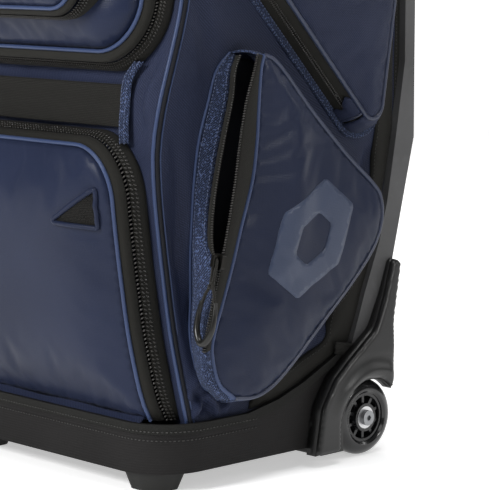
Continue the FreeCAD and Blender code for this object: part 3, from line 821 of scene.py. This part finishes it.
def side_out(drawing):
    """How far the side cloth stands off its plane at points (y, z)."""
    y, z = drawing.T
    side = np.clip((TOP - TOP_RADIUS + 20 - z) / 60, 0, 1)
    move = sum(crease(drawing, line, width, 1.6 * depth) for line, width, depth in SIDE_CREASES) * side
    from_front = y - front_y(z) - SIDE_START
    # Fullness between the seams, and a tuck beside the front corner seam.
    full = np.clip(from_front / 30, 0, 1) * np.clip((back_y(z) - y) / 40, 0, 1)
    above = np.clip((z - above_tub(y)) / 30, 0, 1)
    move += 2.0 * full * above + 1.0 * ripple(drawing, 34, 5.0) * full
    lean = np.exp(-((z - 150) / 80) ** 2) * np.exp(-((y + 96) / 26) ** 2)
    return move + 3.5 * lean * side - 3.6 * np.exp(-(from_front / 3.6) ** 2)


def make_body_shell():
    """One lofted sheet: up the right side, over the arched top and down the left."""
    half, shoulder, rows = HALF_WIDTH, TOP - TOP_RADIUS, 210
    arch = [(half, 0), (half, TOP, TOP_RADIUS), (-half, TOP, TOP_RADIUS), (-half, 0)]
    path = rounded(arch, line=1, arc=22, closed=False)
    share = np.linspace(0, 1, 96)
    share += 0.06 * np.sin(2 * pi * share)

    def across(z, rear):
        return lerp(front_y(z) + SIDE_START, rear, share)

    climb = []
    for k in range(rows):
        level = 60 + k / rows * (shoulder - 60)
        z = lerp(above_tub(across(level, back_y(level))) - 8, shoulder, k / rows)
        climb.append((across(z, back_y(z)), z))
    up, down = ([xyz(side * half, y, z) for y, z in climb] for side in (1, -1))
    # The back edge lies further forward beside the handle's bezel.
    over = [xyz(x, across(z, 150.0 if abs(x) < 101 else 186.0), z) for x, z in path[1:-1]]
    flat_top = [xyz(x, lerp(-88, 150, share), TOP)
                for x in np.linspace(half - TOP_RADIUS, TOP_RADIUS - half, 24)[1:-1]]
    turn = len(over) // 2
    sheet = grid(up + over[:turn] + flat_top + over[turn:] + down[::-1])
    sheet.facing(MIDDLE)
    sheet.points = sheet.points + sheet.normals() * side_out(sheet.points[:, 1:])[:, None]
    piece("body_shell", sheet, "navy_nylon", thick=2.0,
          replaces=["side_panel_left", "side_panel_right", "top_panel"])


def make_corner_seam():
    for name, inset, rise, radius, look in (
        ("corner_piping", 3.6, 0.8, 1.9, "piping_blue"),
        # A dark cord in the seam's gap behind the piping: painted shade where the gap falls dark.
        ("corner_gap_painted_shade", 1.4, -2.2, 1.9, "lining"),
        # A thin raised cord on the side cloth's front edge, coloured light blue: a painted highlight where
        # that edge catches the light.
        ("corner_rim_painted_highlight", 0.2, -5.2, 0.9, "piping_blue"),
    ):
        piece(name, tube(even(corner_line(inset, rise), 4.0), radius), look)


def make_webbing():
    """The grab strap across the waist, and the seam tapes that hold its ends."""
    half = STRAP_SEAM[1][0] + 2
    low, high = WEBBING[0][2], WEBBING[1][2]
    widths = np.linspace(-half, half, 60)
    sag = 1.8 * (1 - (widths / half) ** 2)
    lines = [xyz(widths, front_y(z) - 6.4 - sag - 0.5 * np.cos((z - low) * 0.33), z)
             for z in np.linspace(low, high, 14)]
    piece("waist_strap", grid(lines), "webbing", thick=1.8, replaces=["front_webbing"])
    edge, tape = through(STRAP_SEAM), 11
    for side, flip in SIDES:
        bars = [on_front((edge + [step, 0]) * [flip, 1], 9.4 + 1.2 * hump(step / tape) - 0.22 * step)
                for step in np.linspace(0, tape, 6)]
        piece("strap_seam_" + side, grid(bars), "denim_gusset", thick=1.2)
        rows = [on_front(even(edge + [step, 0], 3.4) * [flip, 1], 10.6) for step in (2.5, 8.5)]
        piece("strap_stitch_" + side, stitched(rows, (0, -1, 0), (2.5, 0.9, 0.8)), "denim_gusset",
              finish="thread_blue")


# ---- Doors ----
def door_frame(corners):
    return rounded(corners, line=14, arc=12, closed=False)


def compartment(name, shape, base, body, fixed, seams, pad_rise, pad_reach, pitch, slack, replaces,
                hinged=True):
    """A padded front: face, piping, black band and zip, as rings round one outline. Returns its face.

    shape(grow) gives the outline grown by grow, and base(z) the surface that it stands on. seams are rings
    as (grow, rise), from the piping out to the edge of the outer tape.
    """
    def ring(grow, rise):
        return on_front(shape(grow), rise, base)

    piping, band, zip_in, zip_out, zip_last, tape = seams
    outline = shape(piping[0] - 1.5)
    face = filled(outline, 6.0)
    drawing, edge = face.points[:, :2], face.points[:, 2]
    face.points = on_front(drawing, piping[1] + pad_rise * (1 - np.exp(-edge / pad_reach)), base)
    face.facing(MIDDLE)
    face = billow(face, edge < HELD, pressure=3.0, slack=slack, cap=6.0)
    pad = piece(name + "_pad", face, "navy_coated", body, thick=2.5, replaces=replaces[0])
    piece(name + "_piping", tube(even(ring(*piping), 3.0), 1.9), "piping_blue", body)
    if hinged:
        across = np.linspace(outline[0], outline[-1], 30)
        wall = [on_front(across, piping[1] * share, base) for share in np.linspace(1, 0.1, 6)]
        piece(name + "_hinge_wall", grid(wall), "navy_coated", body, thick=2.0)
    inner, outer = [], []
    for share in np.linspace(0, 1, 7):
        bulge = hump(share)
        inner.append(ring(lerp(piping[0], band[0], share) + 2.4 * bulge,
                          lerp(piping[1] - 1.0, band[1], share) + 1.44 * bulge))
        outer.append(ring(lerp(zip_in[0], tape[0], share) + 1.2 * bulge,
                          lerp(zip_in[1] - 2.2, tape[1], share)))
    piece(name + "_inner_band", grid(inner), "black_band", body, thick=1.2)
    piece(name + "_outer_band", grid(outer), "black_band", fixed, thick=1.2, replaces=replaces[1])
    for part, home, rows, turn in (
        ("near", body, [zip_in], 0.525),
        ("far", fixed, [zip_out, zip_last], -0.525),
    ):
        coils = []
        for row in rows:
            line = even(ring(*row), pitch)
            out = xyz(line[:, 0], -120.0, line[:, 2] - line[:, 2].mean())
            coils.append(beads(line, out, (pitch * 0.5, pitch * 1.05, pitch * 0.6), turn))
        piece(name + "_coil_" + part, joined(coils), "zip_coil", home)
    return face


def make_lower_door():
    half, top, foot = LOWER_DOOR[1][0], LOWER_DOOR[1][2], 66.0

    def shape(grow):
        wide, crown, radius = half + grow, top + grow, 58 + grow
        return door_frame([(wide, foot), (wide, crown, radius), (-wide, crown, radius), (-wide, foot)])

    def base(z):
        # The pad draws in at its foot, so that it clears the tub when it swings open.
        return front_y(z) + 9 * np.exp(-(z - 62) / 17)

    # Piping, band, the zip's three rows, outer tape.
    seams = ((-9, 32), (-1.5, 21), (-0.6, 19.6), (0.7, 15.6), (1.8, 11.6), (3, 1.5))
    return compartment("lower_door", shape, base, "lower_door", "bag", seams, pad_rise=11, pad_reach=20,
                       pitch=4.0, slack=0.01, replaces=(["lower_door"], ["lower_door_band"]))


def make_upper_door():
    half, bottom, top = UPPER_DOOR[1][0], UPPER_DOOR[0][2], UPPER_DOOR[1][2]

    def shape(grow):
        wide, foot, radius = half + grow, bottom + 7 - grow * 1.6, 54 + grow
        return door_frame([(wide, top), (wide, foot, radius), (-wide, foot, radius), (-wide, top)])

    seams = ((-8, 30), (-1.5, 19), (-0.6, 17.6), (0.9, 14.2), (2.2, 10.8), (4, 1.5))
    compartment("upper_door", shape, front_y, "upper_door", "bag", seams, pad_rise=26, pad_reach=15,
                pitch=3.2, slack=0.01, replaces=(["upper_door"], ["upper_door_band"]))


def make_accessory_pocket():
    half, bottom, top = ACCESSORY[1][0], ACCESSORY[0][2], ACCESSORY[1][2]

    def base(z):
        return np.interp(z, [386, 440, 560, 700, 812], [-146, -155, -154, -144, -118])

    def shape(grow):
        wide, foot, crown = half - 4 + grow, bottom + 4 - grow, top - 4 + grow
        seam = (-wide, (foot + crown) / 2)
        return door_frame([seam, (-wide, foot, 40 + grow), (wide, foot, 40 + grow),
                           (wide, crown, 28 + grow), (-wide, crown, 28 + grow), seam])

    seams = ((-9, 28), (-2, 22), (-0.7, 19.4), (0.6, 16.4), (1.4, 13.4), (2, -12))
    compartment("accessory", shape, base, "upper_door", "upper_door", seams, pad_rise=9, pad_reach=18,
                pitch=3.2, slack=0.02, replaces=(["accessory_pocket"], []), hinged=False)


def make_mesh_triangles(face):
    """Open mesh let into the lower door's face, each in a raised border."""
    def lifted(drawing, rise):
        x, z = drawing.T
        return xyz(x, struck(face, xyz(x, -400, z), (0, 1, 0), -165.0) - rise, z)

    for side, flip in SIDES:
        outline = rounded([(62, 250, 2), (119, 285, 2), (119, 248, 2)], 10, 4) * [flip, 1]
        lid = filled(outline, 3.0)
        lid.points = lifted(lid.points[:, :2], 1.0)
        piece("door_mesh_" + side, lid, "mesh_black", "lower_door", thick=1.2)
        border = tube(lifted(even(outline, 2.0, True), 1.4), 2.4, 8, ring=True)
        piece("door_mesh_border_" + side, border, "navy_coated", "lower_door")


# ---- Side pockets ----
def at(x, places):
    return [(x, *place) for place in places]


FACE_X, UPPER_FACE_X, LINING_X = 202, 184, 164.5

# Lines down the front of a side pocket, as (x, y, z): where it is sewn to the body, its two zip lips, and
# the piping at the edge of its face. Below the slider the lips are zipped together.
SEWN = at(162.5, [(-48, 404), (-65, 388), (-75, 361), (-87, 325), (-93, 289), (-96, 252), (-98, 215),
                  (-98, 178), (-99, 150), (-94, 122), (-87, 102), (-63, 81)])
LEFT_LIP = [(168, -47, 402), (171, -56, 388), *at(172, [(-60, 364), (-70, 328), (-79, 292)]), (174, -87, 258),
            (181, -94, 232), (198, -100, 216), (202, -105, 194), (202, -113, 162), (201, -118, 138),
            (197, -112, 112), (190, -88, 89)]
RIGHT_LIP = [(200, -49, 404), (204, -57, 390),
             *at(205, [(-68, 361), (-76, 325), (-82, 289), (-92, 244), (-100, 216), (-106, 194),
                       (-114, 162)]),
             (204, -119, 138), (201, -114, 112), (196, -90, 89)]
FACE_TOP = (200, -42, 403)
FACE_FRONT = [FACE_TOP] + at(FACE_X, [(-48, 389), (-51, 355), (-53, 325), (-59, 289), (-73, 248), (-84, 214),
                                   (-95, 184), (-106, 155), (-109, 136), (-101, 108), (-81, 91)])
FACE_REAR = at(FACE_X, [(-81, 91), (-56, 89), (-33, 96), (-7, 114), (33, 148), (74, 183), (102, 212),
                        (114, 238), (112, 262), (98, 278), (66, 304), (18, 349), (-17, 386),
                        (-32, 399)]) + [FACE_TOP]
SEWN_REAR = at(160, [(-63, 81), (-40, 82), (-18, 92), (8, 112), (46, 144), (86, 180), (112, 208),
                     (124, 236), (122, 266), (106, 286), (72, 312), (24, 356), (-10, 391), (-28, 404),
                     (-48, 404)])
RINGS = 100
ZIP_END = 82  # the ring where the zip's tapes go under the cloth
FACE_CREASE = [(-24, 396), (-14, 350), (-10, 300), (-16, 240), (-40, 180)]


def between(first, second, steps, bulge, out):
    """Lines from one line to another, standing out in the middle of the way."""
    a, b = counted(through(first, 2.0), RINGS), counted(through(second, 2.0), RINGS)
    return [lerp(a, b, share) + np.array(out) * bulge * hump(share)
            for share in np.linspace(0, 1, steps)]


def pocket_face(face, x, lift):
    """A pocket's flat face as cloth at x, lifted, held along its edges and blown out."""
    held = face.points[:, 2] < HELD
    face.points = on_side(face.points[:, :2], x + lift)
    return billow(face.facing(MIDDLE), held, pressure=1.5, slack=0.01, cap=4.0)


def make_pocket_faces():
    face = filled(np.vstack([through(FACE_FRONT, 3.0), through(FACE_REAR, 3.0)[1:-1]])[:, 1:], 5.0)
    drawing, edge = face.points[:, :2], face.points[:, 2]
    lift = 7.0 * (1 - np.exp(-edge / 26)) + 0.9 * ripple(drawing, 60, 3.0) * np.clip(edge / 20, 0, 1)
    lift -= crease(drawing, FACE_CREASE, 19, 6.0) * np.clip(edge / 16, 0, 1)
    face = pocket_face(face, FACE_X, lift)
    both_sides("pocket_face", face, "navy_coated", thick=2.0, replaces=["side_pocket"])
    for name, line, finish in (("front", FACE_FRONT, "piping_blue"), ("rear", FACE_REAR, "piping_navy")):
        both_sides("pocket_piping_" + name, tube(through(line, 3.0), 2.1), "piping_blue", finish=finish)
    return face


def make_pocket_gussets():
    rear = between(SEWN_REAR, FACE_REAR, 9, 4.0, (0, 0, 0))
    middle = rear[4].mean(0)
    for k, line in enumerate(rear):
        swell = 4.0 * hump(k / 8)
        out = unit((line - middle) * [0, 1, 1])
        line += out * (swell + 0.8 * ripple(line[:, 1:], 16, 1.0 + k)[:, None] * (swell > 0))
    both_sides("pocket_wall", grid(rear), "denim_gusset", thick=2.0, away=(150, middle[1], middle[2]),
               replaces=["side_gusset"])
    flap = between(SEWN, LEFT_LIP, 11, 3.5, (-0.2, -1, 0))
    for k, line in enumerate(flap):
        line[:, 1] += 1.3 * ripple(line[:, [0, 2]], 18, 7.0) * hump(k / 10)
    zip_edge = [(x + min(9.0, (205 - x) * 0.55), y - 2.0, z) for x, y, z in LEFT_LIP]
    foot = between(LEFT_LIP, RIGHT_LIP, 5, 0.8, (0, -1, 0))
    tape = between(LEFT_LIP, zip_edge, 5, 1.2, (0, -1, 0))
    lip = between(RIGHT_LIP, FACE_FRONT, 7, 2.4, (0.7, -0.6, 0))
    upper, lower = slice(0, ZIP_END), slice(ZIP_END - 1, RINGS)
    for name, lines, part, look, thick, x in (
        ("flap", flap, slice(0, RINGS), "denim_gusset", 1.6, 185),
        ("foot", foot, lower, "denim_gusset", 1.6, 185),
        ("tape_inner", tape, upper, "black_band", 1.2, 185),
        ("tape_outer", lip, upper, "black_band", 1.6, 180),
        ("lip_foot", lip, lower, "denim_gusset", 1.6, 180),
    ):
        sheet = grid([line[part] for line in lines])
        both_sides("pocket_" + name, sheet, look, thick=thick, away=(x, 60, 240))
    for name, line, shift, turn in (
        ("outer", RIGHT_LIP, (0.2, -1.4, 0), 0.3),
        ("inner", zip_edge, (0.3, -1.0, 0), -0.3),
    ):
        places = even(through(np.array(line, float) + shift, 2.0), 2.4)
        places = places[:round(len(places) * ZIP_END / RINGS)]
        both_sides("pocket_coil_" + name, beads(places, (0.25, -1, 0.1), (1.6, 3.4, 2.0), turn), "zip_coil")
    rows = [even(line[:ZIP_END], 3.4) + [0.2, -1.0, 0] for line in (flap[3], flap[9])]
    stitches = stitched(rows, (0.2, -1, 0), (2.2, 1.1, 1.0))
    both_sides("pocket_stitch", stitches, "denim_gusset", finish="thread_blue")
    seam = even(through(SEWN, 2.0), 4.0) + [0.6, -1.6, 0]
    both_sides("pocket_sewn_edge", tube(seam, 1.4, 8), "piping_blue")
    sewn = np.vstack([through(SEWN, 3.0), through(SEWN_REAR, 3.0)[1:-1]])[:, 1:]
    dark = filled(lerp(sewn, sewn.mean(0), 0.04), 9.0)
    dark.points = on_side(dark.points[:, :2], LINING_X)
    both_sides("pocket_lining", dark, "lining", thick=1.0, away=(120, 0, 240))


def make_pocket_print(face):
    """A plain ring with six sides, printed on the face."""
    hexagon = np.array([(sin(k * pi / 3), cos(k * pi / 3)) for k in range(6)])
    hexagon = hexagon @ np.array([[1.0, 0.0], [0.35, 1.0]])
    outer, inner = (rounded([(*p, radius) for p in hexagon * size + [10.0, 231.0]], line, 4)
                    for size, radius, line in ((55, 4, 12), (24, 3, 8)))
    mark = filled(outer, 4.0, [inner])
    drawing = mark.points[:, :2]
    mark.points = on_side(drawing, struck(face, on_side(drawing, 400), (-1, 0, 0), 206.0) + 0.35)
    both_sides("pocket_print", mark, "print_slate", thick=0.5)


def grown_seam(grow):
    """The outline of an upper pocket, grown by grow."""
    corners = np.array([corner[:2] for corner in UPPER_SEAM], float)
    made = []
    for k, corner in enumerate(corners):
        ways = [unit(corner - corners[k - 1]), unit(corners[(k + 1) % len(corners)] - corner)]
        first, second = (np.array([way[1], -way[0]]) for way in ways)
        if first @ (corner - corners.mean(0)) < 0:
            first, second = -first, -second
        half = unit(first + second)
        made.append((*(corner + half * grow / (half @ first)), max(6.0, UPPER_SEAM[k][2] + grow)))
    return even(rounded(made, 14, 12), 4.0, True)


def make_upper_pockets():
    inset = -13
    count = len(grown_seam(0))

    def ring(grow, rise):
        line = grown_seam(grow)
        return on_side(counted(np.vstack([line, line[:1]]), count + 1)[:-1], HALF_WIDTH + rise)

    face = filled(grown_seam(inset), 7.0)
    drawing, edge = face.points[:, :2], face.points[:, 2]
    lift = 8.0 * (1 - np.exp(-edge / 30)) + 1.4 * ripple(drawing, 70, 9.0) * np.clip(edge / 20, 0, 1)
    face = pocket_face(face, UPPER_FACE_X, lift)
    both_sides("upper_pocket_face", face, "navy_nylon", thick=2.0, replaces=["upper_pocket"])
    piping = tube(ring(inset, 24), 2.2, ring=True)
    both_sides("upper_pocket_piping", piping, "piping_blue", finish="piping_navy")
    band = [ring(inset + 13.5 * share + 2.2 * hump(share), 23 - 23 * share + hump(share))
            for share in np.linspace(0, 1, 9)]
    both_sides("upper_pocket_band", grid(band, ring=True), "black_band", thick=1.6)
    rows = []
    for grow, rise, turn in ((-5.0, 15.4, 0.3), (-3.2, 13.6, -0.3)):
        line = even(ring(grow, rise), 2.4, True)
        rows.append(beads(line, unit(line - line.mean(0)) + [1.0, 0, 0], (1.6, 2.8, 1.8), turn))
    both_sides("upper_pocket_coil", joined(rows), "zip_coil")
    edge = [ring(-1 + 9 * share, 3.6 + hump(share)) for share in np.linspace(0, 1, 6)]
    both_sides("upper_pocket_edge", grid(edge, ring=True), "denim_gusset", thick=1.2)
    rows = [even(ring(grow, 4.9), 3.6, True) for grow in (0.8, 6.6)]
    both_sides("upper_pocket_stitch", stitched(rows, (1, 0, 0), (2.2, 1.1, 1.2)), "denim_gusset",
               finish="thread_blue")
    # The band ends under a flap of body cloth with a wavy edge.
    cover = [ring(-12 + 15 * share, 23.5 - 21 * share + 5.0 * hump(share))
             for share in np.linspace(0, 1, 9)]
    tab = [counted(line[(line[:, 1] > 84 + 2.5 * sin(1.3 * k)) & (line[:, 2] < 360)], 40)
           for k, line in enumerate(cover)]
    both_sides("upper_pocket_tab", grid(tab), "navy_nylon", thick=1.4)
    first = [line[0] if line[0][1] < line[-1][1] else line[-1] for line in tab]
    piping = tube(through(first, 2.0), 1.1, 8)
    both_sides("upper_pocket_tab_edge", piping, "piping_blue", finish="piping_navy")


# ---- Small pieces of the body ----
SEWING = (2.6, 0.9, 0.8)


def make_rear_tape():
    heights = np.linspace(196, 800, 120)

    def upright(shift, rise):
        return xyz(HALF_WIDTH + rise, back_y(heights) + shift, heights)

    lines = [upright(-13 + k * 2.2, 0.6 if k in (0, 5) else 1.1) for k in range(6)]
    both_sides("rear_tape", grid(lines), "black_band", thick=1.4)
    rows = [even(upright(shift, 1.3), 3.8) for shift in (-10.6, -4.6)]
    both_sides("rear_stitch", stitched(rows, (1, 0, 0), SEWING), "black_band", finish="thread_dark")


def make_corner_patches():
    """The black cloth that widens towards the rear corner of the tub, sewn over the side cloth."""
    inner = through([(166, 440), (158, 390), (148, 335), (143, 298), (139, 262), (133, 223), (124, 187),
                     (108, 169), (94, 155), (84, 138), (77, 121), (56, 110), (32, 101), (6, 92),
                     (-14, 80)], 3.0)
    rest = [(-24, 66), (10, 69), (44, 80), (78, 96), (104, 108), (141, 112), (153, 193), (142.6, 196),
            (167, 298), (172, 322), (172, 440)]
    patch = filled(even(np.array([*inner, *rest]), 3.0, True), 4.0)
    drawing, edge = patch.points[:, :2], patch.points[:, 2]
    patch.points = on_side(drawing, HALF_WIDTH + side_out(drawing) + 2.2 - 1.2 * np.exp(-edge / 1.5))
    both_sides("corner_patch", patch, "black_band", thick=1.2)
    seam = even(inner + [2.6, -3.0], 3.8)
    seam = on_side(seam, HALF_WIDTH + side_out(seam) + 2.4)
    both_sides("corner_patch_stitch", beads(seam, (1, 0, 0), SEWING), "black_band", finish="thread_dark")


def make_tub_stitches():
    """Two rows of stitches through the tub's wall, below its binding."""
    rows = []
    for z, grow in ((49.0, 0.4), (57.5, BINDING_OUT)):
        wide, front = TUB_HALF_WIDTH + grow, -142 + 0.13 * (z - 18) - grow
        path = [(wide, -20), (wide, front, 52), (-wide, front, 52), (-wide, -20)]
        x, y = rounded(path, line=40, arc=20, closed=False).T
        line = even(xyz(x, y, z), 4.2)
        rows.append(beads(line, line * [1, 1, 0], (2.8, 1.2, 1.1)))
    piece("tub_stitches", joined(rows), "binding_tape", finish="thread_dark")


def make_hinge_flaps():
    """Cloth that joins each door to the body along its hinge."""
    across = np.linspace(-OPENING, OPENING, 40)
    for name, body, low, high in (
        ("lower_hinge", "lower_door", (-132.5, 61), (-124.5, 67)),
        ("upper_hinge", "upper_door", (-94, 820), (-112, 811)),
    ):
        lines = []
        for share in np.linspace(0, 1, 10):
            y, z = lerp(np.array(low), np.array(high), share)
            lines.append(xyz(across, y, z + 0.6 * np.sin(across / 17)))
        flap = piece(name, grid(lines), "navy_nylon", body=None, thick=1.6)
        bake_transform(flap)


def make_housing_covers():
    """The rounded outer skin of each wheel housing, swollen over the wheel."""
    centre = (TYRE[0][1:] + TYRE[1][1:]) / 2
    space, lip = 39.2, 4.6
    reach = HOUSING_REAR - centre[0]
    rear = centre + [reach, sqrt(space**2 - reach**2)]
    outline = rounded([*HOUSING_LOWER, *HOUSING_UPPER, tuple(rear)], 12, 8, closed=False)
    # The arch over the tyre widens towards its foot.
    turn = np.linspace(atan2(rear[1] - centre[1], reach), pi, 50)[1:]
    wide = space + 5.0 * np.clip(turn - pi / 2, 0, None)[:, None] / (pi / 2)
    arch = centre + wide * np.column_stack([np.cos(turn), np.sin(turn)])
    foot = [(centre[0] - wide[-1, 0], HOUSING_LOWER[0][1])]
    edge = even(np.array([*outline, *arch, *foot]), 2.0, True)

    def low_face(z):
        """The skin's x at its very edge."""
        return np.interp(z, [104, 200], [HOUSING_OUT, HOUSING_OUT - 7]) + 2.6 - lip

    skin = filled(edge, 2.6)
    drawing, inset = skin.points[:, :2], skin.points[:, 2]
    from_arch = np.linalg.norm(drawing - centre, axis=1) - space
    swell = 4.5 * np.exp(-((from_arch - 9) / 8) ** 2) * np.clip((drawing[:, 1] - centre[1] - 6) / 30, 0, 1)
    rise = np.sqrt(lip**2 - (lip - np.clip(inset, 0, lip)) ** 2) + swell * np.clip(inset / 8, 0, 1)
    skin.points = on_side(drawing, low_face(drawing[:, 1]) + rise)
    rim = on_side(edge, low_face(edge[:, 1]))
    wall = grid([rim, rim * [0, 1, 1] + [168, 0, 0]], ring=True)
    both_sides("housing_skin", skin, "housing_plastic", thick=1.0, away=(100, 120, 90))
    both_sides("housing_edge", wall, "housing_plastic", thick=1.0, away=(175, 110, 100))


def make_webbing_patch():
    across = np.linspace(86, 112, 14)
    lines = [xyz(169.0 + 0.5 * sin(z), across, z + 0.18 * (99 - across) + 0.3 * np.sin(across))
             for z in np.linspace(104, 116, 7)]
    both_sides("webbing_patch", grid(lines), "webbing", thick=1.6)


def dress_frame():
    """Gives every CAD node the finish that its material slot names, and softens the tub's edges."""
    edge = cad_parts["base_tub"].modifiers.new("edge", "BEVEL")
    edge.width = 1.2 * MM
    edge.segments = 3
    edge.angle_limit = radians(38)
    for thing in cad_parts.values():
        for place in thing.material_slots:
            place.material = LOOKS[place.material.name.split(".")[0]]


dress_frame()
make_floor()
make_lights()
make_camera()
make_cords()
make_front_panel()
make_body_shell()
make_corner_seam()
make_webbing()
lower_face = make_lower_door()
make_upper_door()
make_accessory_pocket()
make_mesh_triangles(lower_face)
side_face = make_pocket_faces()
make_pocket_gussets()
make_pocket_print(side_face)
make_upper_pockets()
make_rear_tape()
make_corner_patches()
make_tub_stitches()
make_hinge_flaps()
make_housing_covers()
make_webbing_patch()
